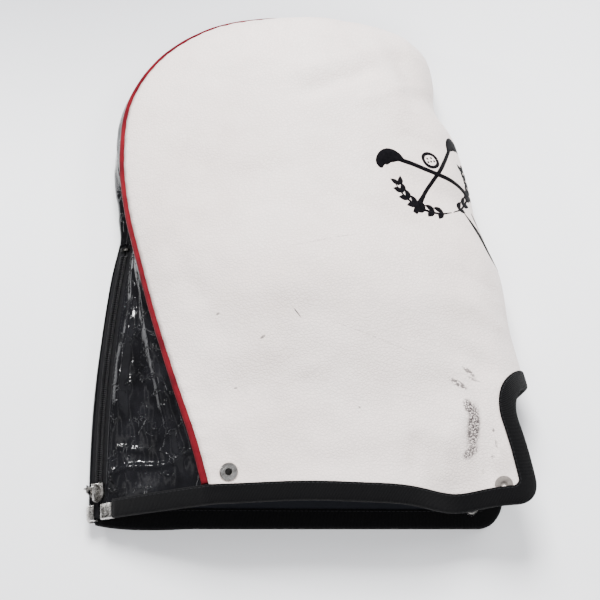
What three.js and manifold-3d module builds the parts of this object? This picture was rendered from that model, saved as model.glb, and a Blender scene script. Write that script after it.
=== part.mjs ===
// A golf-bag hood lying collapsed on its side: a wrap-round front panel, a two-part back gusset
// joined by a zip, red piping in the seam, a bound hem with a handle notch, and press studs.
// Millimetres, +Z up, +X to the front fold, -X to the zip, -Y out of the mouth.
import * as THREE from 'three';
import { mergeVertices } from 'three/addons/utils/BufferGeometryUtils.js';
import Module from 'manifold-3d';

const wasm = await Module();
wasm.setup();

// ---------------------------------------------------------------- driving dimensions
const GAP = 0.3;                 // air between neighbouring pieces
const PANEL_THICK = 1.5;         // leatherette and patent
const LINING_THICK = 1.0;
const BINDING_THICK = 0.8;       // grosgrain tape
const BINDING_WIDTH = 15;        // width of each leg of the folded tape
const PIPING_RADIUS = 2.4;
const PIPING_LIFT = 0.6;         // cord centre above the seam line
const SEAM_CLEARANCE = PIPING_RADIUS + 0.7;   // the panels stop this far from the seam line

const FRONT_REST = 1.65;         // base surface of the lower panel where it lies flat
const HEM_REST = 3.6;            // base surface over the lower studs and binding
const SEAM_REST = 3.3;           // base surface at the lower seam

const STATION_STEP = 50;         // nominal spacing of the guide stations along the hood
const FOLD_RADIUS = 26;          // plan reach of the rounded front fold, upper side
const UNDER_RADIUS = 34;         // plan reach of the rounded front fold, lower side

const NOTCH_HALF_WIDTH = 33;
const NOTCH_DEPTH = 99;
const NOTCH_SHIFT = 14;          // the notch centre sits this far under the fold at the hem
const CORNER_RADIUS = 21;        // rounded hem corners beside the notch

const ZIP_RADIUS = 1150;         // the closed zip lies along this arc
const ZIP_HEIGHT = 17;
const ZIP_LEFT = -165.5;         // furthest reach of the chain centre
const ZIP_ARC_Y = -125;          // where along the hood that reach lies
const ZIP_TOP_Y = 44;
const ZIP_LEAN = THREE.MathUtils.degToRad(28);   // the chain's face leans outward by this
const CHAIN_FLAT = 7;            // flat half-width kept for the slider

// ---------------------------------------------------------------- guide curves
const { clamp, lerp, smoothstep } = THREE.MathUtils;
const vec = (x, y, z) => new THREE.Vector3(x, y, z);
const UP = vec(0, 0, 1);

const tip = vec(101, 241.5, 24);
const upperSeamPoints = [
  vec(-70, -191, 55), vec(-85, -139, 53.5), vec(-103, -88, 51), vec(-121, -34, 48), vec(-136.5, 19, 45),
  vec(-150, 70, 42.5), vec(-156.7, 122, 40.5), vec(-152.5, 175, 38.5), vec(-127, 221, 36),
  vec(-84, 251.5, 35.5), vec(-34, 261.5, 37), vec(20, 259, 39), vec(70, 249.5, 39),
];
const lowerSeamPoints = [
  vec(-95, -202, SEAM_REST), vec(-106, -146, SEAM_REST), vec(-117, -91, SEAM_REST),
  vec(-128, -36, SEAM_REST), vec(-140, 17, SEAM_REST), vec(-150, 69, SEAM_REST),
  vec(-155.5, 122, SEAM_REST), vec(-151, 174, SEAM_REST), vec(-126, 219, SEAM_REST),
  vec(-83.5, 249, SEAM_REST), vec(-34, 259, SEAM_REST), vec(20, 256.5, SEAM_REST), vec(70, 247.5, 5),
];
const foldPoints = [
  vec(199, -190, 29), vec(196, -140, 29), vec(187, -90, 28.5), vec(176.5, -40, 28), vec(171, 10, 27),
  vec(154.5, 55, 27), vec(147, 98, 27), vec(137, 140, 27), vec(121.5, 170, 27), vec(121, 197, 26),
  vec(118, 219, 25), vec(113, 231.5, 24.5), vec(107, 238.5, 24), tip,
];
const zipArcX = (y) => {
  const rise = y - ZIP_ARC_Y;
  return ZIP_LEFT + ZIP_RADIUS - Math.sqrt(ZIP_RADIUS * ZIP_RADIUS - rise * rise);
};
const zipPoint = (y) => vec(zipArcX(y), y, ZIP_HEIGHT);
const backPoints = [
  zipPoint(-197), zipPoint(-146), zipPoint(-90), zipPoint(-33), zipPoint(22), vec(-151.5, 73, 17.5),
  vec(-159.5, 122, 19), vec(-157.5, 177.5, 19), vec(-130.5, 225.5, 19), vec(-85.5, 256.5, 19),
  vec(-34, 266, 20), vec(21, 263, 21), vec(72, 253, 22), tip,
];

const STATIONS = foldPoints.length - 1;
const LENGTH = STATIONS * STATION_STEP;   // nominal length from hem to tip
const smoothCurve = (points) => new THREE.CatmullRomCurve3(points, false, 'catmullrom', 0.5);
const seamCurve = smoothCurve([...upperSeamPoints, tip, ...lowerSeamPoints.slice().reverse()]);
const foldCurve = smoothCurve(foldPoints);
const backCurve = smoothCurve(backPoints);

const upperSeam = (v) => seamCurve.getPoint(v / 2);
const lowerSeam = (v) => seamCurve.getPoint(1 - v / 2);
const foldEdge = (v) => foldCurve.getPoint(v);
const backLine = (v) => {
  const point = backCurve.getPoint(v);
  const leave = smoothstep(point.y, ZIP_TOP_Y + 6, ZIP_TOP_Y + 50);
  return leave < 1 ? zipPoint(point.y).lerp(point, leave) : point;
};

const bell = (x, centre, width) => Math.exp(-(((x - centre) / width) ** 2));

// ---------------------------------------------------------------- cross-sections
// Each row of the hood is a polyline with an arc-length table, so that a point is found
// by its distance along the skin.
function measured(points, start) {
  const lengths = [0];
  for (let i = 1; i < points.length; i += 1) {
    lengths.push(lengths[i - 1] + points[i].distanceTo(points[i - 1]));
  }
  const origin = lengths[start];
  return { points, lengths: lengths.map((length) => length - origin) };
}

function pointAt(row, distance) {
  const { points, lengths } = row;
  let i = 1;
  while (i < points.length - 1 && lengths[i] < distance) i += 1;
  const share = (distance - lengths[i - 1]) / (lengths[i] - lengths[i - 1]);
  return points[i - 1].clone().lerp(points[i], share);
}

// The skin lies flat on its outer face, and stands a little higher over the hem and the notch.
function floorHeight(fromFold, v) {
  const along = v * LENGTH;
  const overHem = 1 - smoothstep(along, 25, 75);
  const besideNotch = (1 - smoothstep(fromFold, 70, 120)) * (1 - smoothstep(along, 105, 150));
  return lerp(FRONT_REST, HEM_REST, Math.max(overHem, besideNotch));
}

const UPPER_SAMPLES = 60;
const LOWER_SAMPLES = 48;

function upperHeight(share, reach, plan, v, seamZ, foldZ) {
  const along = v * LENGTH;
  const shoulder = lerp(50, 44, smoothstep(along, 0, 120)) * Math.min(1, 0.55 + reach / 400);
  const belly = lerp(6, 42, smoothstep(along, 0, 200)) * Math.min(1, reach / 260);
  const dip = 15 * bell(plan.x, 128, 30) * Math.exp(-((along / 45) ** 2));
  const top = lerp(seamZ, shoulder, share) + belly * Math.sin(Math.PI * share) ** 0.75 - dip;
  const fromFold = (1 - share) * reach;
  const round = Math.min(FOLD_RADIUS, 0.45 * reach);
  const ease = fromFold < round ? Math.sqrt(1 - (1 - fromFold / round) ** 2) : 1;
  return foldZ + (top - foldZ) * ease;
}

function lowerHeight(share, reach, v, seamZ, foldZ) {
  const fromFold = share * reach;
  const round = Math.min(UNDER_RADIUS, 0.45 * reach);
  const ease = fromFold < round ? Math.sqrt(1 - (1 - fromFold / round) ** 2) : 1;
  const lift = smoothstep(fromFold, reach - Math.min(20, reach / 2), reach);
  const rest = lerp(floorHeight(fromFold, v), seamZ, lift);
  return rest + (foldZ - rest) * (1 - ease);
}

// The hem isn't straight: the upper edge waves and the lower edge reaches further out.
function upperSway(x, v) {
  const fade = Math.exp(-((v * LENGTH / 60) ** 2));
  return (2.5 * bell(x, 5, 50) - 5.5 * bell(x, 120, 28)) * fade;
}

function lowerSway(share, reach, v) {
  const fade = 1 - smoothstep(v * LENGTH, 0, 160);
  return -12 * (1 - share) * smoothstep(share * reach, 0, 45) * fade;
}

const frontRows = new Map();
function frontRow(v) {
  if (frontRows.has(v)) return frontRows.get(v);
  const high = upperSeam(v);
  const edge = foldEdge(v);
  const low = lowerSeam(v);
  const points = [];
  const upperReach = Math.hypot(edge.x - high.x, edge.y - high.y);
  for (let i = 0; i <= UPPER_SAMPLES; i += 1) {
    const share = 1 - (1 - i / UPPER_SAMPLES) ** 1.8;
    const point = high.clone().lerp(edge, share);
    point.z = upperHeight(share, upperReach, point, v, high.z, edge.z);
    point.y += upperSway(point.x, v);
    points.push(point);
  }
  const lowerReach = Math.hypot(edge.x - low.x, edge.y - low.y);
  for (let i = 1; i <= LOWER_SAMPLES; i += 1) {
    const share = (i / LOWER_SAMPLES) ** 1.8;
    const point = edge.clone().lerp(low, share);
    point.z = lowerHeight(share, lowerReach, v, low.z, edge.z);
    point.y += lowerSway(share, lowerReach, v);
    points.push(point);
  }
  const row = measured(points, UPPER_SAMPLES);
  frontRows.set(v, row);
  return row;
}

// The gusset runs from the chain centre to a seam; side is +1 for the upper half, -1 for the lower.
function gussetLean(v) {
  return lerp(ZIP_LEAN, Math.PI / 2, smoothstep(v * LENGTH, 235, 330));
}

function outwardAt(v) {
  const step = 0.002;
  const ahead = backLine(Math.min(1, v + step));
  const behind = backLine(Math.max(0, v - step));
  const tangent = ahead.sub(behind).setZ(0).normalize();
  return vec(-tangent.y, tangent.x, 0);
}

function chainHeading(v, side) {
  const lean = gussetLean(v);
  const across = outwardAt(v).multiplyScalar(-side * Math.cos(lean));
  return across.addScaledVector(UP, side * Math.sin(lean));
}

const gussetRows = new Map();
function gussetRow(v, side) {
  const key = `${v},${side}`;
  if (gussetRows.has(key)) return gussetRows.get(key);
  const centre = backLine(v);
  const seam = side > 0 ? upperSeam(v) : lowerSeam(v);
  const heading = chainHeading(v, side);
  const flat = Math.min(CHAIN_FLAT, 0.3 * seam.distanceTo(centre));
  const start = centre.clone().addScaledVector(heading, flat);
  const span = seam.distanceTo(start);
  const dome = smoothstep(v * LENGTH, 150, 330);
  const climb = Math.asin(clamp((seam.z - start.z) / span, -1, 1));
  const slack = THREE.MathUtils.degToRad(lerp(0, 25, dome));
  const underside = THREE.MathUtils.degToRad(lerp(2, 45, dome));
  const arrival = side > 0 ? climb - slack : underside;
  const back = outwardAt(v).multiplyScalar(Math.cos(arrival)).addScaledVector(UP, -side * Math.sin(arrival));
  const under = lerp(9.5, 5.5, smoothstep(v * LENGTH, 85, 150));
  const leave = side > 0 ? 0.3 * span : Math.min(under, 0.35 * span);
  const arrive = side > 0 ? 0.3 * span : lerp(0.82, 0.35, dome) * span;
  const bend = new THREE.CubicBezierCurve3(
    start,
    start.clone().addScaledVector(heading, leave),
    seam.clone().addScaledVector(back, arrive),
    seam,
  );
  const points = [centre, ...bend.getPoints(40)];
  const row = measured(points, 0);
  gussetRows.set(key, row);
  return row;
}

// ---------------------------------------------------------------- the skin
// A place on the skin is { part, across, v }: part 'front' counts from the fold, negative
// upward; parts 'upper' and 'lower' count from the chain centre towards the seam.
function rowOf(part, v) {
  if (part === 'front') return frontRow(v);
  return gussetRow(v, part === 'upper' ? 1 : -1);
}

function rowLimits(part, v) {
  const { lengths } = rowOf(part, v);
  return [lengths[0], lengths[lengths.length - 1]];
}

// How far along a row the skin must stop to stay clear of the piping.
const seamInsets = new Map();
function seamInset(part, side, v) {
  const key = `${part},${side},${v}`;
  if (seamInsets.has(key)) return seamInsets.get(key);
  const row = rowOf(part, v);
  const ends = rowLimits(part, v);
  const end = side < 0 ? ends[0] : ends[1];
  const at = part === 'lower' || (part === 'front' && side > 0) ? 1 - v / 2 : v / 2;
  const nearby = [];
  for (let i = -40; i <= 40; i += 1) nearby.push(seamCurve.getPoint(clamp(at + 0.001 * i, 0, 1)));
  let inset = SEAM_CLEARANCE;
  const touches = (place) => nearby.some((point) => point.distanceTo(place) < SEAM_CLEARANCE);
  while (inset < end * side && touches(pointAt(row, end - side * inset))) inset += 0.1;
  seamInsets.set(key, inset);
  return inset;
}

// Where the skin of one side of the hood stops, measured along the row at v.
function seamStop(part, side, v) {
  const ends = rowLimits(part, v);
  return (side < 0 ? ends[0] : ends[1]) - side * seamInset(part, side, v);
}

function skinPoint(place) {
  return pointAt(rowOf(place.part, Math.max(0, place.v)), place.across);
}

function skinNormal(place) {
  const { part, across, v } = place;
  const stepAcross = 0.8;
  const stepAlong = 0.0015;
  const lowV = Math.max(0, v - stepAlong);
  const highV = Math.min(1, v + stepAlong);
  const left = skinPoint({ part, across: across - stepAcross, v });
  const right = skinPoint({ part, across: across + stepAcross, v });
  const near = skinPoint({ part, across, v: lowV });
  const far = skinPoint({ part, across, v: highV });
  const normal = right.sub(left).cross(far.sub(near)).normalize();
  return part === 'lower' ? normal.negate() : normal;
}

// ---------------------------------------------------------------- solids from the skin
function enclosedVolume(positions, indices) {
  let total = 0;
  for (let i = 0; i < indices.length; i += 3) {
    const [a, b, c] = [positions[indices[i]], positions[indices[i + 1]], positions[indices[i + 2]]];
    total += a.dot(b.clone().cross(c)) / 6;
  }
  return total;
}

function solid(positions, indices) {
  if (enclosedVolume(positions, indices) < 0) indices.reverse();
  const geometry = new THREE.BufferGeometry();
  geometry.setAttribute('position', new THREE.Float32BufferAttribute(positions.flatMap((p) => p.toArray()), 3));
  geometry.setIndex(indices);
  geometry.computeVertexNormals();
  return geometry;
}

// A sheet: numbered places joined by quads, thickened between two heights over the skin.
function sheet(places, quads, low, high) {
  const count = places.length;
  const positions = [];
  for (const height of [high, low]) {
    for (const place of places) {
      positions.push(skinPoint(place).addScaledVector(skinNormal(place), height));
    }
  }
  const indices = [];
  const rims = new Map();
  for (const quad of quads) {
    const [a, b, c, d] = quad;
    indices.push(a, b, c, a, c, d);
    indices.push(a + count, c + count, b + count, a + count, d + count, c + count);
    for (let i = 0; i < 4; i += 1) {
      const from = quad[i];
      const to = quad[(i + 1) % 4];
      if (rims.has(`${to},${from}`)) rims.delete(`${to},${from}`);
      else rims.set(`${from},${to}`, [from, to]);
    }
  }
  for (const [from, to] of rims.values()) {
    indices.push(from + count, to + count, to, from + count, to, from);
  }
  return solid(positions, indices);
}

// A loft: rings of equally many points, joined in turn and closed by flat ends.
function loft(rings, endFaces) {
  const size = rings[0].length;
  const indices = [];
  for (let j = 0; j + 1 < rings.length; j += 1) {
    for (let i = 0; i < size; i += 1) {
      const a = j * size + i;
      const b = j * size + (i + 1) % size;
      indices.push(a, b, b + size, a, b + size, a + size);
    }
  }
  const last = (rings.length - 1) * size;
  for (const [a, b, c] of endFaces) {
    indices.push(a, c, b, last + a, last + b, last + c);
  }
  return solid(rings.flat(), indices);
}

function outlineFaces(outline) {
  return THREE.ShapeUtils.triangulateShape(outline.map(([x, y]) => new THREE.Vector2(x, y)), []);
}

// ---------------------------------------------------------------- front panel layout
const HEM_INSET = 1.3;           // panels stop this far inside the folded binding
const HEM_COLUMNS = 12;          // panel columns from seam to corner
const CORNER_STEPS = 4;
const SIDE_STEPS = 3;
const ARCH_STEPS = 7;
const TIP_ALONG = 618;           // the panels end just short of the tip

const rowsAbove = [120, 145, 170, 195, 221, 255];
for (let along = 285; along < TIP_ALONG - 20; along += 30) rowsAbove.push(along);
rowsAbove.push(TIP_ALONG);

const notchShift = (along) => NOTCH_SHIFT * (1 - Math.min(along, NOTCH_DEPTH) / NOTCH_DEPTH);

// The free edge of one half of the front panel, from the seam along the hem, round the corner
// and up the notch to its apex, moved inward by inset. Distances are across the fold and along.
function freeEdge(side, inset) {
  const half = NOTCH_HALF_WIDTH + inset;
  const round = CORNER_RADIUS - inset;
  const archStart = NOTCH_DEPTH - NOTCH_HALF_WIDTH;
  const seamAcross = seamStop('front', side, inset / LENGTH);
  const points = [];
  const put = (fromCentre, along) => {
    points.push([side * fromCentre + notchShift(along), along]);
  };
  const cornerAcross = side * (half + round) + notchShift(inset);
  for (let i = 0; i < HEM_COLUMNS; i += 1) {
    const share = columnShare(i / HEM_COLUMNS);
    points.push([lerp(seamAcross, cornerAcross, share), inset]);
  }
  for (let i = 0; i <= CORNER_STEPS; i += 1) {
    const angle = (Math.PI / 2) * (i / CORNER_STEPS);
    put(half + round * (1 - Math.sin(angle)), inset + round * (1 - Math.cos(angle)));
  }
  for (let i = 1; i < SIDE_STEPS; i += 1) {
    put(half, lerp(CORNER_RADIUS, archStart, i / SIDE_STEPS));
  }
  for (let i = 0; i <= ARCH_STEPS; i += 1) {
    const angle = (Math.PI / 2) * (i / ARCH_STEPS);
    put(half * Math.cos(angle), archStart + half * Math.sin(angle));
  }
  return points;
}

const COLUMNS = HEM_COLUMNS + CORNER_STEPS / 2;
const NOTCH_ROWS = CORNER_STEPS / 2 + SIDE_STEPS + ARCH_STEPS;

// Columns stand closer together towards the fold, where the panel turns sharply.
const columnShare = (over) => 1 - (1 - over) ** 1.6;

function mix(a, b, share) {
  return [lerp(a[0], b[0], share), lerp(a[1], b[1], share)];
}

// The part of one half below the notch apex, as a patch stretched between its four edges.
function notchPatch(side) {
  const edge = freeEdge(side, HEM_INSET);
  const bottom = edge.slice(0, COLUMNS + 1);
  const right = edge.slice(COLUMNS);
  const apexAlong = right[right.length - 1][1];
  const seamAt = (along) => seamStop('front', side, along / LENGTH);
  const rows = [];
  for (let j = 0; j <= NOTCH_ROWS; j += 1) {
    const up = j / NOTCH_ROWS;
    const leftAlong = lerp(HEM_INSET, apexAlong, up);
    const left = [seamAt(leftAlong), leftAlong];
    const row = [];
    for (let i = 0; i <= COLUMNS; i += 1) {
      const over = i / COLUMNS;
      const share = columnShare(over);
      const top = [lerp(seamAt(apexAlong), 0, share), apexAlong];
      const ruled = mix(bottom[i], top, up);
      const sided = mix(left, right[j], over);
      const low = mix(bottom[0], bottom[COLUMNS], over);
      const high = mix([seamAt(apexAlong), apexAlong], right[NOTCH_ROWS], over);
      const corners = mix(low, high, up);
      row.push([ruled[0] + sided[0] - corners[0], ruled[1] + sided[1] - corners[1]]);
    }
    rows.push(row);
  }
  return rows;
}

function frontSheet(low, high) {
  const places = [];
  const numbers = new Map();
  const number = (across, along) => {
    const key = `${across.toFixed(4)},${along.toFixed(4)}`;
    if (!numbers.has(key)) {
      numbers.set(key, places.length);
      places.push({ part: 'front', across, v: along / LENGTH });
    }
    return numbers.get(key);
  };
  const quads = [];
  for (const side of [-1, 1]) {
    const rows = notchPatch(side).map((row) => row.map(([across, along]) => number(across, along)));
    for (const along of rowsAbove) {
      const start = seamStop('front', side, along / LENGTH);
      const row = [];
      for (let i = 0; i <= COLUMNS; i += 1) {
        row.push(number(lerp(start, 0, columnShare(i / COLUMNS)), along));
      }
      rows.push(row);
    }
    for (let j = 0; j + 1 < rows.length; j += 1) {
      for (let i = 0; i < COLUMNS; i += 1) {
        const quad = [rows[j][i], rows[j][i + 1], rows[j + 1][i + 1], rows[j + 1][i]];
        quads.push(side < 0 ? quad : quad.reverse());
      }
    }
  }
  return sheet(places, quads, low, high);
}

// ---------------------------------------------------------------- gusset and zip layout
const CENTRE_SEAM = 0.25;        // half the gap where the two gusset halves meet
const WINDOW_EDGE = 8;           // the patent stops this far from the chain centre
const TAPE_MIDDLE = 11.2;
const TAPE_EDGE = 14.3;          // outer edge of each zip tape
const LINING_EDGE = 14.6;
const NARROW_COLUMNS = [CENTRE_SEAM, CHAIN_FLAT, WINDOW_EDGE, TAPE_MIDDLE, LINING_EDGE];
const PATENT_OPEN = NARROW_COLUMNS.indexOf(WINDOW_EDGE);   // columns left open in the zip window
const LINING_OPEN = NARROW_COLUMNS.indexOf(LINING_EDGE);
const WIDE_SHARES = [0.12, 0.35, 0.65, 1];
const WINDOW_TOP = 221;          // the patent closes over the zip here, measured from the hem
const TAPE_TOP = 232;
const LINING_TOP = 233;
const CHAIN_FOOT = 17;
const CHAIN_TOP = 213;

const gussetRowsAlong = [HEM_INSET + 1, 16, 40, 70, 99, ...rowsAbove, TAPE_TOP, LINING_TOP];
gussetRowsAlong.sort((a, b) => a - b);

// Distances from the chain centre of the gusset's columns in one row.
function gussetColumns(part, along) {
  const stop = seamStop(part, 1, along / LENGTH);
  const squeeze = Math.min(1, (0.8 * stop) / LINING_EDGE);
  const narrow = NARROW_COLUMNS.map((across) => across * squeeze);
  const wide = WIDE_SHARES.map((share) => lerp(LINING_EDGE * squeeze, stop, share));
  return [...narrow, ...wide];
}

function gridSheet(part, rows, low, high, isOpen) {
  const places = rows.flatMap(({ along, columns }) => (
    columns.map((across) => ({ part, across, v: along / LENGTH }))
  ));
  const quads = [];
  const width = rows[0].columns.length;
  for (let j = 0; j + 1 < rows.length; j += 1) {
    for (let i = 0; i + 1 < width; i += 1) {
      const a = j * width + i;
      if (!isOpen(i, rows[j].along)) quads.push([a, a + 1, a + 1 + width, a + width]);
    }
  }
  return sheet(places, quads, low, high);
}

// Half of the gusset, with its half of the zip window left open up to openTop.
function gussetSheet(part, openColumns, openTop, low, high) {
  const rows = gussetRowsAlong.map((along) => ({ along, columns: gussetColumns(part, along) }));
  return gridSheet(part, rows, low, high, (column, along) => column < openColumns && along < openTop);
}

function zipTape(part) {
  const columns = [0.8, CHAIN_FLAT, WINDOW_EDGE, TAPE_MIDDLE, TAPE_EDGE];
  const alongs = gussetRowsAlong.filter((along) => along <= TAPE_TOP);
  const rows = alongs.map((along) => ({ along, columns }));
  return gridSheet(part, rows, -0.95, -0.15, () => false);
}

// ---------------------------------------------------------------- binding and clips
// A folded tape in section: distance in from the edge, height over the skin.
function foldedSection(width, thick, inner, outer) {
  const high = outer + thick;
  const low = inner - thick;
  return [
    [width, high], [width / 2, high], [1, high], [0, high - 1], [0, low + 1], [1, low],
    [width / 2, low], [width, low], [width, inner], [width / 2, inner], [thick, inner],
    [thick, outer], [width / 2, outer], [width, outer],
  ];
}

const BINDING_OUTER = PANEL_THICK + 0.95;
const BINDING_INNER = -(LINING_THICK + 0.95);

function sectionLoft(section, stations) {
  const rings = stations.map((station) => section.map(([inset, height]) => {
    const { point, normal } = station(inset);
    return point.clone().addScaledVector(normal, height);
  }));
  return loft(rings, outlineFaces(section));
}

function skinStation(placeAt) {
  return (inset) => {
    const place = placeAt(inset);
    return { point: skinPoint(place), normal: skinNormal(place) };
  };
}

function seamNormal(v, part) {
  const limits = rowLimits('front', v);
  const across = part === 'upper' ? limits[0] : limits[1];
  const front = skinNormal({ part: 'front', across, v });
  const back = skinNormal({ part, across: rowLimits(part, v)[1], v });
  return front.add(back).normalize();
}

function hemStations() {
  const halves = { upper: [], lower: [] };
  for (const part of ['upper', 'lower']) {
    const side = part === 'upper' ? -1 : 1;
    const list = halves[part];
    for (const share of [0.01, ...WIDE_SHARES]) {
      list.push(skinStation((inset) => {
        const v = inset / LENGTH;
        return { part, across: lerp(LINING_EDGE, seamStop(part, 1, v), share), v };
      }));
    }
    list.push((inset) => {
      const v = inset / LENGTH;
      const point = part === 'upper' ? upperSeam(v) : lowerSeam(v);
      return { point, normal: seamNormal(v, part) };
    });
    const count = freeEdge(side, 0).length;
    for (let i = 0; i < count; i += 1) {
      list.push(skinStation((inset) => {
        const [across, along] = freeEdge(side, inset)[i];
        return { part: 'front', across, v: along / LENGTH };
      }));
    }
  }
  halves.lower.pop();
  return [...halves.upper, ...halves.lower.reverse()];
}

function hemBinding() {
  const section = foldedSection(BINDING_WIDTH, BINDING_THICK, BINDING_INNER, BINDING_OUTER);
  return sectionLoft(section, hemStations());
}

const CLIP_COLUMNS = {
  upper: [3.4, CHAIN_FLAT, WINDOW_EDGE, TAPE_MIDDLE, 14.2],
  lower: [3.4, CHAIN_FLAT, 9.2, TAPE_MIDDLE],
};
const CLIP_DEPTH = 12.5;
const CLIP_THICK = 0.9;

function hemClip(part, margin) {
  const thick = CLIP_THICK + 2 * margin;
  const section = foldedSection(CLIP_DEPTH + margin, thick, BINDING_INNER + margin, BINDING_OUTER - margin);
  const stations = CLIP_COLUMNS[part].map((across) => (
    skinStation((inset) => ({ part, across, v: inset / LENGTH }))
  ));
  return sectionLoft(section, stations);
}

// ---------------------------------------------------------------- piping
const PIPING_SIDES = 8;
const PIPING_START = BINDING_WIDTH + 1;

function seamPiping(radius) {
  const alongs = [PIPING_START, ...gussetRowsAlong.filter((along) => along > 30), 630, 641];
  const upperParts = alongs.map((along) => ['upper', along / LENGTH]);
  const lowerParts = alongs.map((along) => ['lower', along / LENGTH]).reverse();
  const stops = [...upperParts, ['tip', 1], ...lowerParts];
  const lastV = TIP_ALONG / LENGTH;
  const tipNormal = seamNormal(lastV, 'upper').add(seamNormal(lastV, 'lower')).normalize();
  const rings = stops.map(([part, v]) => {
    const normal = part === 'tip' ? tipNormal : seamNormal(v, part);
    const at = part === 'lower' ? 1 - v / 2 : v / 2;
    const tangent = seamCurve.getPoint(at + 0.0005).sub(seamCurve.getPoint(at - 0.0005)).normalize();
    const across = tangent.clone().cross(normal).normalize();
    const up = across.clone().cross(tangent);
    const centre = seamCurve.getPoint(at).addScaledVector(up, PIPING_LIFT);
    const ring = [];
    for (let i = 0; i < PIPING_SIDES; i += 1) {
      const angle = (2 * Math.PI * (i + 0.5)) / PIPING_SIDES;
      ring.push(centre.clone()
        .addScaledVector(across, radius * Math.cos(angle))
        .addScaledVector(up, radius * Math.sin(angle)));
    }
    return ring;
  });
  const capOutline = [];
  for (let i = 0; i < PIPING_SIDES; i += 1) {
    const angle = (2 * Math.PI * i) / PIPING_SIDES;
    capOutline.push([Math.cos(angle), Math.sin(angle)]);
  }
  return loft(rings, outlineFaces(capOutline));
}

// ---------------------------------------------------------------- zip
const COIL_SECTION = [[0.75, 0.2], [3.5, 0.2], [3.8, 0.8], [3.5, 1.8], [2.2, 2.2], [0.75, 2]];
const STOP_SIZE = [8.4, 3, 2.3];
const STOP_ALONG = 217.5;

function zipCoil(part) {
  const rings = [];
  const steps = 20;
  for (let i = 0; i <= steps; i += 1) {
    const v = lerp(CHAIN_FOOT, CHAIN_TOP, i / steps) / LENGTH;
    rings.push(COIL_SECTION.map(([across, height]) => {
      const place = { part, across, v };
      return skinPoint(place).addScaledVector(skinNormal(place), height);
    }));
  }
  return loft(rings, outlineFaces(COIL_SECTION));
}

// The frame carried by the chain at a place along the hood: X across towards the upper half,
// Y along the chain towards the tip, Z out of the zip's face.
function chainFrame(y) {
  const centre = zipPoint(y);
  const ahead = zipPoint(y + 0.5).sub(zipPoint(y - 0.5)).normalize();
  const outward = vec(-ahead.y, ahead.x, 0);
  const face = outward.clone().multiplyScalar(Math.sin(ZIP_LEAN)).addScaledVector(UP, Math.cos(ZIP_LEAN));
  const across = ahead.clone().cross(face);
  return new THREE.Matrix4().makeBasis(across, ahead, face).setPosition(centre);
}

function toManifold(geometry) {
  const bare = geometry.clone();
  bare.deleteAttribute('normal');
  bare.deleteAttribute('uv');
  const merged = mergeVertices(bare, 1e-4);
  const vertProperties = Float32Array.from(merged.attributes.position.array);
  const triVerts = Uint32Array.from(merged.index.array);
  return new wasm.Manifold(new wasm.Mesh({ numProp: 3, vertProperties, triVerts }));
}

function fromManifold(manifold) {
  const mesh = manifold.getMesh();
  const geometry = new THREE.BufferGeometry();
  geometry.setAttribute('position', new THREE.Float32BufferAttribute(mesh.vertProperties, 3));
  geometry.setIndex([...mesh.triVerts]);
  geometry.computeVertexNormals();
  return geometry;
}

// A geometry with a space cut out of it, keeping the largest piece.
function without(geometry, space) {
  const pieces = toManifold(geometry).subtract(toManifold(space)).decompose();
  const sizes = pieces.map((part) => part.volume());
  return fromManifold(pieces[sizes.indexOf(Math.max(...sizes))]);
}

function joined(geometries) {
  return fromManifold(geometries.map(toManifold).reduce((sum, next) => sum.add(next)));
}

function box(sizeX, sizeY, sizeZ, x, y, z) {
  return new THREE.BoxGeometry(sizeX, sizeY, sizeZ).translate(x, y, z);
}

function plate(shape, thick, z) {
  const options = { depth: thick, bevelEnabled: false, curveSegments: 6 };
  return new THREE.ExtrudeGeometry(shape, options).translate(0, 0, z);
}

const SLIDER_Y = -175;           // where the slider stands with the zip closed
const SLIDER_HALF = 6.6;
const SLIDER_LENGTH = 16;
const SLIDER_PLATE = 1.1;
const SLIDER_TOP = 2.55;         // underside of the top plate over the skin
const SLIDER_BOTTOM = -2.45;     // underside of the bottom plate
const BRIDGE_HEIGHT = 3.1;       // bridge centre over the top plate
const BRIDGE_WIDTH = 2.6;
const BRIDGE_THICK = 1.1;
const BRIDGE_SPAN = 13;

// A shield: a round nose at the hem end, straight sides, a narrower square tail.
function shieldShape(half) {
  const end = SLIDER_LENGTH / 2;
  const shape = new THREE.Shape();
  shape.moveTo(1 - half, end);
  shape.lineTo(-half, -0.5);
  shape.quadraticCurveTo(-half + 0.6, -end + 1.5, 0, -end);
  shape.quadraticCurveTo(half - 0.6, -end + 1.5, half, -0.5);
  shape.lineTo(half - 1, end);
  shape.closePath();
  return shape;
}

function zipSlider() {
  const flange = 1.2;
  const flangeDrop = SLIDER_TOP - 0.25;
  const top = SLIDER_TOP + SLIDER_PLATE;
  const pieces = [
    plate(shieldShape(SLIDER_HALF), SLIDER_PLATE, SLIDER_TOP),
    plate(shieldShape(SLIDER_HALF - 0.6), SLIDER_PLATE, SLIDER_BOTTOM),
    box(0.8, 3.2, SLIDER_TOP - SLIDER_BOTTOM, 0, -5.2, (SLIDER_TOP + SLIDER_BOTTOM) / 2),
  ];
  for (const side of [-1, 1]) {
    pieces.push(box(flange, 9, flangeDrop + 0.2, side * 4.9, 3, SLIDER_TOP + 0.1 - (flangeDrop - 0.2) / 2));
    const foot = box(BRIDGE_WIDTH, BRIDGE_THICK, BRIDGE_HEIGHT, 0, side * (BRIDGE_SPAN - BRIDGE_THICK) / 2, 0);
    pieces.push(foot.translate(0, 0, top + BRIDGE_HEIGHT / 2 - 0.1));
  }
  pieces.push(box(BRIDGE_WIDTH, BRIDGE_SPAN, BRIDGE_THICK, 0, 0, top + BRIDGE_HEIGHT));
  return joined(pieces);
}

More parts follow.
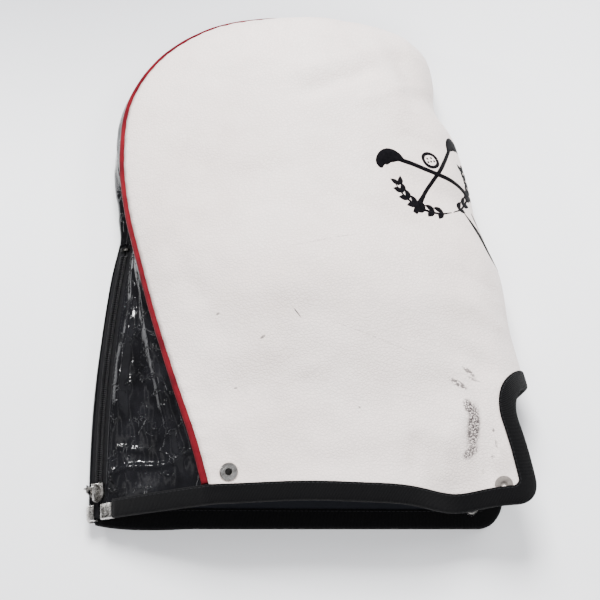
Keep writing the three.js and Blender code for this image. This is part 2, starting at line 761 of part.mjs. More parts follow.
const LINK_Y = 3.6;              // the link hangs near the tail of the bridge
const LINK_WIRE = 1.1;
const LINK_INNER = 1.75;         // inner radius of the wire loop
const LINK_REACH = 7.6;          // bridge centre to the pull's cross bar
const BRIDGE_CENTRE = SLIDER_TOP + SLIDER_PLATE + BRIDGE_HEIGHT;

// A flat wire loop standing across the bridge; it lies outward, level with the slider's plate.
function pullLink() {
  const outline = (radius) => {
    const shape = new THREE.Shape();
    shape.absarc(0, 0, radius, -Math.PI / 2, Math.PI / 2, false);
    shape.absarc(-LINK_REACH, 0, radius, Math.PI / 2, (3 * Math.PI) / 2, false);
    shape.closePath();
    return shape;
  };
  const loop = outline(LINK_INNER + LINK_WIRE);
  loop.holes.push(outline(LINK_INNER));
  const options = { depth: LINK_WIRE, bevelEnabled: false, curveSegments: 10 };
  const geometry = new THREE.ExtrudeGeometry(loop, options).translate(0, 0, -LINK_WIRE / 2);
  return geometry.rotateX(Math.PI / 2).translate(0, LINK_Y, BRIDGE_CENTRE);
}

const PULL_WIDTH = 6.4;
const PULL_THICK = 1.2;
const PULL_LENGTH = 16.5;
const PULL_BAR = 1.3;            // cross bar that rides inside the link
const PULL_SLOT = [3.4, 3.6];    // slot below the cross bar: width and height

// A slim pull: a rounded plate hanging plumb from its cross bar, with a slot for the link.
function zipPull() {
  const half = PULL_WIDTH / 2;
  const roundCentre = half + PULL_BAR / 2 - PULL_LENGTH;
  const shape = new THREE.Shape();
  shape.moveTo(-half, PULL_BAR / 2);
  shape.lineTo(-half, roundCentre);
  shape.absarc(0, roundCentre, half, Math.PI, 2 * Math.PI, false);
  shape.lineTo(half, PULL_BAR / 2);
  shape.closePath();
  const slot = new THREE.Path();
  const [slotWidth, slotHeight] = PULL_SLOT;
  slot.moveTo(-slotWidth / 2, -PULL_BAR / 2);
  slot.lineTo(slotWidth / 2, -PULL_BAR / 2);
  slot.lineTo(slotWidth / 2, -PULL_BAR / 2 - slotHeight);
  slot.lineTo(-slotWidth / 2, -PULL_BAR / 2 - slotHeight);
  slot.closePath();
  shape.holes.push(slot);
  const options = { depth: PULL_THICK, bevelEnabled: false, curveSegments: 8 };
  return new THREE.ExtrudeGeometry(shape, options).translate(0, 0, -PULL_THICK / 2);
}

// ---------------------------------------------------------------- press studs
const STUD_RADIUS = 7.4;
const STUD_HOLE = 2.7;
const SOCKET_RADIUS = 6;
const SOCKET_HEIGHT = 4;
const BACK_STUD_ALONG = 24;
const BACK_STUD_FROM_SEAM = 21;
const FRONT_STUD_ALONG = 16;
const FRONT_STUD_FROM_CENTRE = 60;
const STUD_SEGMENTS = 16;

function skinFrame(place) {
  const normal = skinNormal(place);
  const along = vec(0, 1, 0).addScaledVector(normal, -normal.y).normalize();
  const across = along.clone().cross(normal);
  return new THREE.Matrix4().makeBasis(across, along, normal).setPosition(skinPoint(place));
}

function turned(profile) {
  const points = profile.map(([radius, height]) => new THREE.Vector2(radius, height));
  return new THREE.LatheGeometry(points, STUD_SEGMENTS).rotateX(Math.PI / 2);
}

function studCap() {
  const r = STUD_RADIUS;
  const base = PANEL_THICK + 0.45;
  const profile = [
    [STUD_HOLE, base], [r - 0.3, base], [r, base + 0.4], [r - 0.7, base + 0.9],
    [r - 2.6, base + 1.3], [STUD_HOLE + 0.9, base + 1.2], [STUD_HOLE, base + 0.8],
  ];
  return turned([...profile, profile[0]]);
}

// The front caps tuck under the binding, so only the part clear of it stands over the leather.
function tuckedStudCap() {
  const clearLine = BINDING_WIDTH + 0.5 - FRONT_STUD_ALONG;
  const covered = box(30, 20, 20, 0, clearLine - 10, 0);
  return fromManifold(toManifold(studCap()).subtract(toManifold(covered)));
}

function studSocket(back) {
  const r = SOCKET_RADIUS;
  const face = back - SOCKET_HEIGHT;
  return turned([
    [0, face + 2.4], [2.4, face + 2.4], [2.4, face], [r - 1, face], [r, back - 1], [r, back], [0, back],
  ]);
}

function studPlace(end, side) {
  if (end === 'front') {
    const along = FRONT_STUD_ALONG;
    return { part: 'front', across: notchShift(along) + side * FRONT_STUD_FROM_CENTRE, v: along / LENGTH };
  }
  const v = BACK_STUD_ALONG / LENGTH;
  const limits = rowLimits('front', v);
  const seamAcross = side < 0 ? limits[0] : limits[1];
  return { part: 'front', across: seamAcross - side * BACK_STUD_FROM_SEAM, v };
}

// ---------------------------------------------------------------- materials
function material(color, roughness, metalness) {
  return new THREE.MeshStandardMaterial({ color, roughness, metalness });
}

const whiteLeather = () => material(0xe4dedc, 0.6, 0);
const blackPatent = () => material(0x18181a, 0.15, 0);
const navyLining = () => material(0x20232e, 0.85, 0);
const redVinyl = () => material(0xa8242c, 0.4, 0);
const blackTape = () => material(0x1b1b1b, 0.9, 0);
const blackCoil = () => material(0x202022, 0.5, 0);
const nickel = () => material(0xb9b4a8, 0.3, 1);

// ---------------------------------------------------------------- the assembly
const hood = new THREE.Group();

function piece(name, geometry, finish, frame) {
  const mesh = new THREE.Mesh(geometry, finish);
  mesh.name = name;
  if (frame) frame.decompose(mesh.position, mesh.quaternion, mesh.scale);
  hood.add(mesh);
  return mesh;
}

const OUTER = [0.15, 0.15 + PANEL_THICK];
const INNER = [-0.15 - LINING_THICK, -0.15];

const cordSpace = seamPiping(PIPING_RADIUS + GAP);
piece('front_panel', without(frontSheet(...OUTER), cordSpace), whiteLeather());
piece('front_lining', without(frontSheet(...INNER), cordSpace), navyLining());
for (const part of ['upper', 'lower']) {
  const clipSpace = hemClip(part, GAP);
  const patent = gussetSheet(part, PATENT_OPEN, WINDOW_TOP, ...OUTER);
  piece(`gusset_${part}`, without(patent, clipSpace), blackPatent());
  piece(`gusset_lining_${part}`, gussetSheet(part, LINING_OPEN, LINING_TOP, ...INNER), navyLining());
  piece(`zip_tape_${part}`, without(zipTape(part), clipSpace), blackTape());
  piece(`zip_coil_${part}`, zipCoil(part), blackCoil());
  piece(`hem_clip_${part}`, hemClip(part, 0), nickel());
}
piece('seam_piping', seamPiping(PIPING_RADIUS), redVinyl());
piece('hem_binding', hemBinding(), blackTape());

const stopFrame = chainFrame(backLine(STOP_ALONG / LENGTH).y);
const [stopX, stopY, stopZ] = STOP_SIZE;
piece('zip_end_stop', box(stopX, stopY, stopZ, 0, 0, 0.2 + stopZ / 2), nickel(), stopFrame);

const sliderFrame = chainFrame(SLIDER_Y);
piece('zip_slider', zipSlider(), nickel(), sliderFrame);
piece('pull_link', pullLink(), nickel(), sliderFrame);

const pullHinge = vec(-LINK_REACH, LINK_Y, BRIDGE_CENTRE).applyMatrix4(sliderFrame);
const chainRun = vec(0, 1, 0).transformDirection(sliderFrame);
const pullFrame = new THREE.Matrix4().makeBasis(chainRun, UP, chainRun.clone().cross(UP));
piece('zip_pull', zipPull(), nickel(), pullFrame.setPosition(pullHinge));

for (const [part, side] of [['upper', -1], ['lower', 1]]) {
  for (const end of ['front', 'back']) {
    const frame = skinFrame(studPlace(end, side));
    const socketBack = end === 'front' ? BINDING_INNER - BINDING_THICK - 0.8 : INNER[0] - 0.5;
    piece(`stud_cap_${end}_${part}`, end === 'front' ? tuckedStudCap() : studCap(), nickel(), frame);
    piece(`stud_socket_${end}_${part}`, studSocket(socketBack), nickel(), frame);
  }
}

// The origin is the centre of the footprint, on the surface the hood lies on.
const bounds = new THREE.Box3().setFromObject(hood, true);
const middle = bounds.getCenter(vec(0, 0, 0));
hood.position.set(-middle.x, -middle.y, -bounds.min.z);

export default hood;
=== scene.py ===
"""A golf-bag hood lying collapsed on its side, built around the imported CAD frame."""
import math

import bpy
import numpy as np
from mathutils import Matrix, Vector


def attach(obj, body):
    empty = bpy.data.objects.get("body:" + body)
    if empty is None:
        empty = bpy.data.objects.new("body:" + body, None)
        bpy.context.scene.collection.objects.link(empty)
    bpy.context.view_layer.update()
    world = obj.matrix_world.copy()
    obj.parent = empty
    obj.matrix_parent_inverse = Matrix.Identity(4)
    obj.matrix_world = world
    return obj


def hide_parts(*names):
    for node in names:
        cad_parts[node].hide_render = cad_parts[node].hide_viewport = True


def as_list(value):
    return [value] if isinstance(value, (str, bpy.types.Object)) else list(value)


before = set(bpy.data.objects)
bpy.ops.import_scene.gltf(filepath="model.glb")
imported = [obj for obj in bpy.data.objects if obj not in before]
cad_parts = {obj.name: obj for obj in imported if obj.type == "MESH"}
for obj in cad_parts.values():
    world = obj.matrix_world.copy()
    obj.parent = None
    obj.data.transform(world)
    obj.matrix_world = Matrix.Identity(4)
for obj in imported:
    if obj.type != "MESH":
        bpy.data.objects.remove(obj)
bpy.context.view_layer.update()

MM = 0.001
TURN = 2 * math.pi
SHIFT = np.array([-6.4397, -32.1615, 0.0])   # from guide coordinates to the frame's, in mm

# ------------------------------------------------------------------ dimensions in mm, as in the CAD
LENGTH = 650.0                                # along the skin, from the hem to the tip
OUTER, INNER = (0.15, 1.65), (-1.15, -0.15)   # the outer material and the lining, off the skin
BINDING_WIDTH, BINDING_THICK = 15.0, 0.8
BINDING_OUTER, BINDING_INNER = 2.45, -1.95
PIPING_RADIUS, PIPING_LIFT = 3.0, 0.6
CLIP_THICK = 0.9
FRONT_REST, HEM_REST, SEAM_REST = 1.65, 3.6, 3.3
FOLD_RADIUS, UNDER_RADIUS = 26.0, 34.0
NOTCH_HALF_WIDTH, NOTCH_DEPTH, NOTCH_SHIFT, CORNER_RADIUS = 33.0, 99.0, 14.0, 21.0
ZIP_RADIUS, ZIP_HEIGHT, ZIP_LEFT, ZIP_ARC_Y, ZIP_TOP_Y = 1150.0, 17.0, -165.5, -125.0, 44.0
ZIP_LEAN = math.radians(28)
CHAIN_FLAT, CHAIN_FOOT, CHAIN_TOP = 7.0, 17.0, 213.0
WINDOW_EDGE, TAPE_EDGE, WINDOW_TOP, TAPE_TOP = 8.0, 14.3, 221.0, 232.0
TINY = 1e-6

TIP = (101, 241.5, 24)
UPPER_SEAM = [
    (-70, -191, 55), (-85, -139, 53.5), (-103, -88, 51), (-121, -34, 48), (-136.5, 19, 45),
    (-150, 70, 42.5), (-156.7, 122, 40.5), (-152.5, 175, 38.5), (-127, 221, 36),
    (-84, 251.5, 35.5), (-34, 261.5, 37), (20, 259, 39), (70, 249.5, 39),
]
LOWER_SEAM = [
    (-95, -202), (-106, -146), (-117, -91), (-128, -36), (-140, 17), (-150, 69), (-155.5, 122),
    (-151, 174), (-126, 219), (-83.5, 249), (-34, 259), (20, 256.5),
]
LOWER_SEAM = [(x, y, SEAM_REST) for x, y in LOWER_SEAM] + [(70, 247.5, 5)]
FOLD = [
    (199, -190, 29), (196, -140, 29), (187, -90, 28.5), (176.5, -40, 28), (171, 10, 27),
    (154.5, 55, 27), (147, 98, 27), (137, 140, 27), (121.5, 170, 27), (121, 197, 26),
    (118, 219, 25), (113, 231.5, 24.5), (107, 238.5, 24), TIP,
]


def smoothstep(x, low, high):
    t = np.clip((np.asarray(x, float) - low) / (high - low), 0, 1)
    return t * t * (3 - 2 * t)


def lerp(a, b, t):
    return a + (b - a) * t


def bell(x, centre, width):
    return np.exp(-(((x - centre) / width) ** 2))


def window(x, rise, fall):
    """Rises from 0 to 1 over the first pair of values, and falls back over the second."""
    return smoothstep(x, *rise) * (1 - smoothstep(x, *fall))


def unit(vector):
    return vector / np.linalg.norm(vector)


def curve(points):
    """A uniform Catmull-Rom curve through the points, as a function of 0..1."""
    p = np.array(points, float)
    p = np.vstack([2 * p[0] - p[1], p, 2 * p[-1] - p[-2]])

    def at(t):
        spans = len(p) - 3
        place = min(max(t, 0.0), 1.0) * spans
        i = min(int(place), spans - 1)
        w = place - i
        a, b, c, d = p[i:i + 4]
        out, into = 0.5 * (c - a), 0.5 * (d - b)
        cubic = 2 * b - 2 * c + out + into
        square = -3 * b + 3 * c - 2 * out - into
        return b + out * w + square * w * w + cubic * w ** 3
    return at


def zip_point(y):
    rise = y - ZIP_ARC_Y
    return np.array([ZIP_LEFT + ZIP_RADIUS - math.sqrt(ZIP_RADIUS ** 2 - rise * rise), y, ZIP_HEIGHT])


BACK = [zip_point(y) for y in (-197, -146, -90, -33, 22)] + [
    (-151.5, 73, 17.5), (-159.5, 122, 19), (-157.5, 177.5, 19), (-130.5, 225.5, 19),
    (-85.5, 256.5, 19), (-34, 266, 20), (21, 263, 21), (72, 253, 22), TIP,
]
seam_at = curve(UPPER_SEAM + [TIP] + LOWER_SEAM[::-1])
fold_at = curve(FOLD)
back_at = curve(BACK)


def upper_seam(v):
    return seam_at(v / 2)


def lower_seam(v):
    return seam_at(1 - v / 2)


def back_line(v):
    point = back_at(v)
    leave = float(smoothstep(point[1], ZIP_TOP_Y + 6, ZIP_TOP_Y + 50))
    return lerp(zip_point(point[1]), point, leave) if leave < 1 else point


# ------------------------------------------------------------------ the skin, row by row
UPPER_SHOULDER, UPPER_BELLY = (50, 44), (6, 42)   # heights at the hem and further up
HEM_DIP, DIP_PLACE, DIP_WIDTH = 15, 128, 30
UPPER_SAMPLES, LOWER_SAMPLES, BEND_SAMPLES = 120, 96, 60
CROWDING = 1.8                                    # samples crowd towards the fold by this power
HEM_REACH = 12                                    # how far the lower edge reaches out past the upper


def floor_height(from_fold, v):
    along = v * LENGTH
    over_hem = 1 - smoothstep(along, 25, 75)
    beside_notch = (1 - smoothstep(from_fold, 70, 120)) * (1 - smoothstep(along, 105, 150))
    return lerp(FRONT_REST, HEM_REST, np.maximum(over_hem, beside_notch))


def rounding(from_fold, radius, reach):
    """How far a quarter circle at the fold has risen, 0 at the fold and 1 past its radius."""
    radius = max(TINY, min(radius, 0.45 * reach))
    return np.sqrt(np.clip(1 - (1 - np.minimum(from_fold / radius, 1)) ** 2, 0, 1))


def front_row(v):
    """One row of the front panel's skin, from the upper seam round the fold to the lower seam."""
    along = v * LENGTH
    high, edge, low = upper_seam(v), fold_at(v), lower_seam(v)
    share = 1 - (1 - np.linspace(0, 1, UPPER_SAMPLES + 1)) ** CROWDING
    upper = high + (edge - high) * share[:, None]
    x = upper[:, 0]
    reach = math.hypot(*(edge - high)[:2])
    shoulder = lerp(*UPPER_SHOULDER, smoothstep(along, 0, 120)) * min(1, 0.55 + reach / 400)
    belly = lerp(*UPPER_BELLY, smoothstep(along, 0, 200)) * min(1, reach / 260)
    dip = HEM_DIP * bell(x, DIP_PLACE, DIP_WIDTH) * bell(along, 0, 45)
    top = lerp(high[2], shoulder, share) + belly * np.clip(np.sin(np.pi * share), 0, 1) ** 0.75 - dip
    sway = (2.5 * bell(x, 5, 50) - 5.5 * bell(x, 120, 28)) * bell(along, 0, 60)
    upper[:, 2] = edge[2] + (top - edge[2]) * rounding((1 - share) * reach, FOLD_RADIUS, reach)
    upper[:, 1] += sway

    share = np.linspace(0, 1, LOWER_SAMPLES + 1)[1:] ** CROWDING
    lower = edge + (low - edge) * share[:, None]
    reach = math.hypot(*(edge - low)[:2])
    from_fold = share * reach
    lift = smoothstep(from_fold, reach - min(20, reach / 2), reach)
    rest = lerp(floor_height(from_fold, v), low[2], lift)
    lower[:, 2] = rest + (edge[2] - rest) * (1 - rounding(from_fold, UNDER_RADIUS, reach))
    lower[:, 1] -= HEM_REACH * (1 - share) * smoothstep(from_fold, 0, 45) * (1 - smoothstep(along, 0, 160))
    return np.vstack([upper, lower]), UPPER_SAMPLES


def outward_at(v):
    """The level direction away from the hood at the zip's side."""
    tangent = unit((back_line(min(1, v + 0.002)) - back_line(max(0, v - 0.002))) * (1, 1, 0))
    return np.array([-tangent[1], tangent[0], 0])


def gusset_row(v, side):
    """One row of a gusset's skin, from the zip to a seam: side is 1 above the zip and -1 below."""
    along = v * LENGTH
    centre = back_line(v)
    seam = upper_seam(v) if side > 0 else lower_seam(v)
    lean = lerp(ZIP_LEAN, math.pi / 2, float(smoothstep(along, 235, 330)))
    heading = outward_at(v) * (-side * math.cos(lean)) + np.array([0, 0, side * math.sin(lean)])
    start = centre + heading * min(CHAIN_FLAT, 0.3 * np.linalg.norm(seam - centre))
    span = max(TINY, np.linalg.norm(seam - start))
    dome = float(smoothstep(along, 150, 330))
    climb = math.asin(min(1, max(-1, (seam[2] - start[2]) / span)))
    arrival = climb - math.radians(25 * dome) if side > 0 else math.radians(lerp(2, 45, dome))
    back = outward_at(v) * math.cos(arrival) + np.array([0, 0, -side * math.sin(arrival)])
    under = lerp(9.5, 5.5, float(smoothstep(along, 85, 150)))
    leave = 0.3 * span if side > 0 else min(under, 0.35 * span)
    arrive = 0.3 * span if side > 0 else lerp(0.82, 0.35, dome) * span
    t = np.linspace(0, 1, BEND_SAMPLES + 1)[:, None]
    b, c = start + heading * leave, seam + back * arrive
    bend = start * (1 - t) ** 3 + 3 * b * t * (1 - t) ** 2 + 3 * c * t * t * (1 - t) + seam * t ** 3
    return np.vstack([centre, bend]), 0


class Skin:
    """A sampled part of the skin: points by distance across the row and along the hood, in mm."""
    STEP = 1.0
    SPARE = 24        # columns kept past each end of the rows
    REACH = 40        # how far each row is carried on straight past its ends

    def __init__(self, row, flip=False):
        self.flip = flip
        alongs = np.minimum(np.arange(0, LENGTH + 0.5, self.STEP), LENGTH - 1.5)
        tables = []
        for points, origin in (row(along / LENGTH) for along in alongs):
            steps = np.linalg.norm(np.diff(points, axis=0), axis=1)
            lengths = np.concatenate([[0], np.cumsum(steps)])
            tables.append((lengths - lengths[origin], points))
        self.low = np.array([lengths[0] for lengths, _ in tables])
        self.high = np.array([lengths[-1] for lengths, _ in tables])
        self.first = math.floor(self.low.min()) - self.SPARE
        count = math.ceil(self.high.max()) + self.SPARE - self.first
        places = self.first + np.arange(count)
        self.table = np.zeros((len(tables), count, 3))
        for j, (lengths, p) in enumerate(tables):
            before = p[0] + (p[0] - p[1]) / max(TINY, lengths[1] - lengths[0]) * self.REACH
            after = p[-1] + (p[-1] - p[-2]) / max(TINY, lengths[-1] - lengths[-2]) * self.REACH
            stretched = np.concatenate([[lengths[0] - self.REACH], lengths, [lengths[-1] + self.REACH]])
            path = np.vstack([before, p, after])
            for axis in range(3):
                self.table[j, :, axis] = np.interp(places, stretched, path[:, axis])

    def limits(self, along):
        rows = np.arange(len(self.low)) * self.STEP
        return np.interp(along, rows, self.low), np.interp(along, rows, self.high)

    def point(self, across, along):
        across, along = np.broadcast_arrays(np.asarray(across, float), np.asarray(along, float))
        x = np.clip(across - self.first, 0, self.table.shape[1] - 1.001)
        y = np.clip(along / self.STEP, 0, self.table.shape[0] - 1.001)
        i, j = x.astype(int), y.astype(int)
        fx, fy = (x - i)[..., None], (y - j)[..., None]
        t = self.table
        near = t[j, i] * (1 - fx) + t[j, i + 1] * fx
        far = t[j + 1, i] * (1 - fx) + t[j + 1, i + 1] * fx
        return near * (1 - fy) + far * fy

    def normal(self, across, along, step=1.6):
        sideways = self.point(np.add(across, step), along) - self.point(np.subtract(across, step), along)
        ahead = np.minimum(np.add(along, step), LENGTH)
        behind = np.maximum(np.subtract(along, step), 0)
        lengthways = self.point(across, ahead) - self.point(across, behind)
        n = np.cross(sideways, lengthways)
        n /= np.maximum(1e-9, np.linalg.norm(n, axis=-1, keepdims=True))
        return -n if self.flip else n


front = Skin(front_row)
upper = Skin(lambda v: gusset_row(v, 1))
lower = Skin(lambda v: gusset_row(v, -1), flip=True)
# Each half of the hood: its label, its gusset and its side of the front's fold.
HALVES = (("upper", upper, -1), ("lower", lower, 1))


# ------------------------------------------------------------------ folds and dents in the cloth
def ridge(x, y, start, end, width):
    """1 on the line from start to end, falling off over width and towards its two ends."""
    a, b = np.array(start, float), np.array(end, float)
    run = unit(b - a)
    dx, dy = x - a[0], y - a[1]
    share = (dx * run[0] + dy * run[1]) / np.linalg.norm(b - a)
    off = dy * run[0] - dx * run[1]
    return bell(off, 0, width) * window(share, (-0.15, 0.25), (0.75, 1.15))


WAVES = 6


def wave_noise(x, y, size, seed):
    """A smooth, repeatable waviness built from a few crossing sine waves."""
    rng = np.random.RandomState(seed)
    total = 0.0
    for _ in range(WAVES):
        angle = rng.uniform(0, math.pi)
        scale = TURN / (size * rng.uniform(0.7, 1.5))
        total = total + np.sin((x * math.cos(angle) + y * math.sin(angle)) * scale + rng.uniform(0, 6.3))
    return total / WAVES


UPPER_FOLDS = [
    # start, end, width, height in mm: soft folds over the upper side, in guide coordinates
    ((-135, 18), (168, 2), 44, 3.0),
    ((-100, -96), (172, -104), 25, -3.4),
    ((-110, 62), (20, 98), 15, -1.6),
    ((-60, -20), (165, -30), 14, 1.3),
    ((0, 158), (74, 192), 8, -2.6),
    ((-14, 174), (66, 210), 10, 2.2),
    ((64, 218), (92, 140), 10, 3.2),
    ((84, 214), (110, 166), 9, -3.4),
    ((40, 214), (62, 186), 8, -1.6),
    ((44, 150), (112, 186), 7, 1.4),
    ((-120, 120), (-30, 60), 20, -1.8),
    ((60, 96), (142, 62), 9, -2.4),
    ((72, 112), (140, 86), 8, 2.0),
    ((88, 128), (128, 116), 6, -1.6),
    ((90, -178), (92, -135), 6, -1.9),
    ((112, -180), (120, -128), 8, 1.9),
    ((120, -184), (143, -174), 8, -2.2),
    ((150, -180), (160, -120), 9, -1.6),
    ((-40, -176), (-62, -140), 7, -1.4),
    ((-70, 190), (20, 228), 11, 1.4),
    ((-20, -176), (60, -150), 12, -1.3),
    ((120, -60), (178, -96), 8, -2.0),
    ((130, -20), (172, -48), 8, 1.7),
    ((118, 4), (168, -14), 6, -1.5),
    ((-98, 10), (-60, -60), 9, -1.3),
    ((-30, -100), (40, -70), 8, 0.9),
    ((24, 60), (110, 34), 9, -1.2),
]
STUD_DIMPLES = [(-56.1, -165.5, 10), (161.9, -174.6, 12)]


def notch_centre(along):
    return NOTCH_SHIFT * (1 - np.minimum(along, NOTCH_DEPTH) / NOTCH_DEPTH)


def edge_mask(across, along):
    """0 at the seams and the bound edge, 1 in the open field of the front panel."""
    low, high = front.limits(along)
    from_seam = np.minimum(across - low, high - across)
    beside = np.maximum(0, np.abs(across - notch_centre(along)) - 20)
    from_notch = np.hypot(beside, np.maximum(0, along - 70))
    return smoothstep(from_seam, 2, 22) * smoothstep(along, 14, 34) * smoothstep(from_notch, 28, 52)


def front_relief(across, along):
    """How far the front panel swells or dents, with the small puckers beside its seam."""
    x, y, z = np.moveaxis(front.point(across, along), -1, 0)
    depth = 1.3 * wave_noise(x, y, 70, 4) + 0.6 * wave_noise(x, y, 31, 9) + 0.16 * wave_noise(x, y, 13, 3)
    for start, end, width, height in UPPER_FOLDS:
        depth = depth + height * ridge(x, y, start, end, width)
    from_seam = across - front.limits(along)[0]
    pucker = 0.32 * np.sin(along * TURN / 13 + 1.2 * np.sin(along / 31)) * bell(from_seam, 8, 6)
    dimples = sum(-0.9 * bell(np.hypot(x - cx, y - cy), 0, size) for cx, cy, size in STUD_DIMPLES)
    swell = depth * edge_mask(across, along) + pucker + dimples * smoothstep(along, 14, 20)
    return smoothstep(z, 26, 40) * swell


def gusset_relief(part, across, along):
    """The gusset's waves, sag and belly. The upper side, which shows, is also dented and creased."""
    high = part.limits(along)[1]
    share = across / np.maximum(high, 1)
    signed = -across if part.flip else across
    field = np.maximum(smoothstep(across, 9, 20), smoothstep(along, 226, 256))
    field = field * smoothstep(high - across, 2, 12) * smoothstep(along, 14, 34)
    waves = 0.75 * wave_noise(signed * 1.6, along * 0.7, 34, 21) + 0.35 * wave_noise(signed * 2, along, 15, 5)
    crest = 1.3 * bell(share, 0.78, 0.06) * (1 - smoothstep(along, 150, 220))
    sag = -1.6 * np.sin(np.pi * np.clip(share, 0, 1)) * (1 - smoothstep(along, 120, 230))
    belly = 6.0 * window(along, (223, 252), (288, 372)) * (1 - smoothstep(share, 0.25, 0.95))
    relief = belly + field * (waves + crest + sag)
    if part.flip:
        return relief
    dent = -2.4 * bell(np.hypot((along - 168) / 13, (across - 24) / 9), 0, 1)
    crease = 1.4 * bell(along - 0.16 * across - 5 * np.sin(across / 14), 30, 2.6)
    crease += 0.9 * bell(along + 0.3 * across, 62, 2.4) * window(across, (14, 22), (36, 46))
    crease += 0.8 * bell(along - 0.35 * across, 96, 2.6) * window(across, (16, 26), (44, 54))
    roll = 2.6 * bell(across - 2.5 * np.sin(along / 23), 19, 5.5) * window(along, (60, 100), (196, 226))
    return relief + smoothstep(across, 8.2, 12) * (roll + field * (dent + crease))


# ------------------------------------------------------------------ mesh building
ROOT_BODY = "hood"


def link(name, data):
    obj = bpy.data.objects.new(name, data)
    bpy.context.scene.collection.objects.link(obj)
    return obj


def build(name, points, faces, material, slot, replaces=(), uv=None, flat_faces=(), shift=True):
    """A piece from points in mm, with smooth faces, riding on the hood."""
    mesh = bpy.data.meshes.new(name)
    placed = (np.asarray(points, float) + (SHIFT if shift else 0)) * MM
    mesh.from_pydata(placed.tolist(), [], [tuple(int(i) for i in f) for f in faces])
    mesh.update()
    smooth = np.ones(len(mesh.polygons), bool)
    smooth[list(flat_faces)] = False
    mesh.polygons.foreach_set("use_smooth", smooth)
    if uv is not None:
        layer = mesh.uv_layers.new(name="skin")
        corners = np.zeros(len(mesh.loops), np.int32)
        mesh.loops.foreach_get("vertex_index", corners)
        layer.data.foreach_set("uv", (np.asarray(uv, float) * MM)[corners].ravel())
    mesh.materials.append(material)
    obj = link(name, mesh)
    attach(obj, ROOT_BODY)
    if replaces:
        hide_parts(*replaces)
    return obj


def outward(points, faces):
    """The faces of a closed solid, turned if they look inward."""
    corners = np.array([(f[0], a, b) for f in faces for a, b in zip(f[1:], f[2:])])
    first, second, third = np.asarray(points)[corners].transpose(1, 0, 2)
    volume = np.sum(first * np.cross(second, third))
    return [tuple(f)[::-1] for f in faces] if volume < 0 else faces


def grid_quads(rows, columns, closed=False):
    quads = []
    for j in range(rows - 1):
        for i in range(columns if closed else columns - 1):
            a = j * columns + i
            b = j * columns + (i + 1) % columns
            quads.append((a, b, b + columns, a + columns))
    return quads


def tube_faces(rings, sides):
    """The faces of a tube of rings, of which the last two close its ends."""
    last = (rings - 1) * sides
    ends = [tuple(range(sides))[::-1], tuple(range(last, last + sides))]
    return grid_quads(rings, sides, closed=True) + ends


def build_tube(name, points, sides, material, slot, replaces=(), uv=None):
    faces = outward(points, tube_faces(len(points) // sides, sides))
    return build(name, points, faces, material, slot, replaces, uv, (len(faces) - 2, len(faces) - 1))


def build_sheet(name, part, across, along, span, relief, quads, material, slot, replaces=()):
    """Lifts two copies of a sheet off the skin and joins them along their rims into a closed shell."""
    normal = part.normal(across, along)
    base = part.point(across, along)
    inner, outer = (base + normal * (height + relief[..., None]) for height in span)
    count = len(outer)
    faces = [tuple(q) for q in quads] + [tuple(i + count for i in reversed(q)) for q in quads]
    rims = {}
    for q in quads:
        for a, b in zip(q, (*q[1:], q[0])):
            if (b, a) in rims:
                del rims[(b, a)]
            else:
                rims[(a, b)] = True
    first_rim = len(faces)
    faces += [(b, a, a + count, b + count) for a, b in rims]
    points = np.vstack([outer, inner])
    uv = np.column_stack([across, along] if part is front else [along, across])
    return build(name, points, outward(points, faces), material, slot, replaces,
                 np.vstack([uv, uv]), range(first_rim, len(faces)))


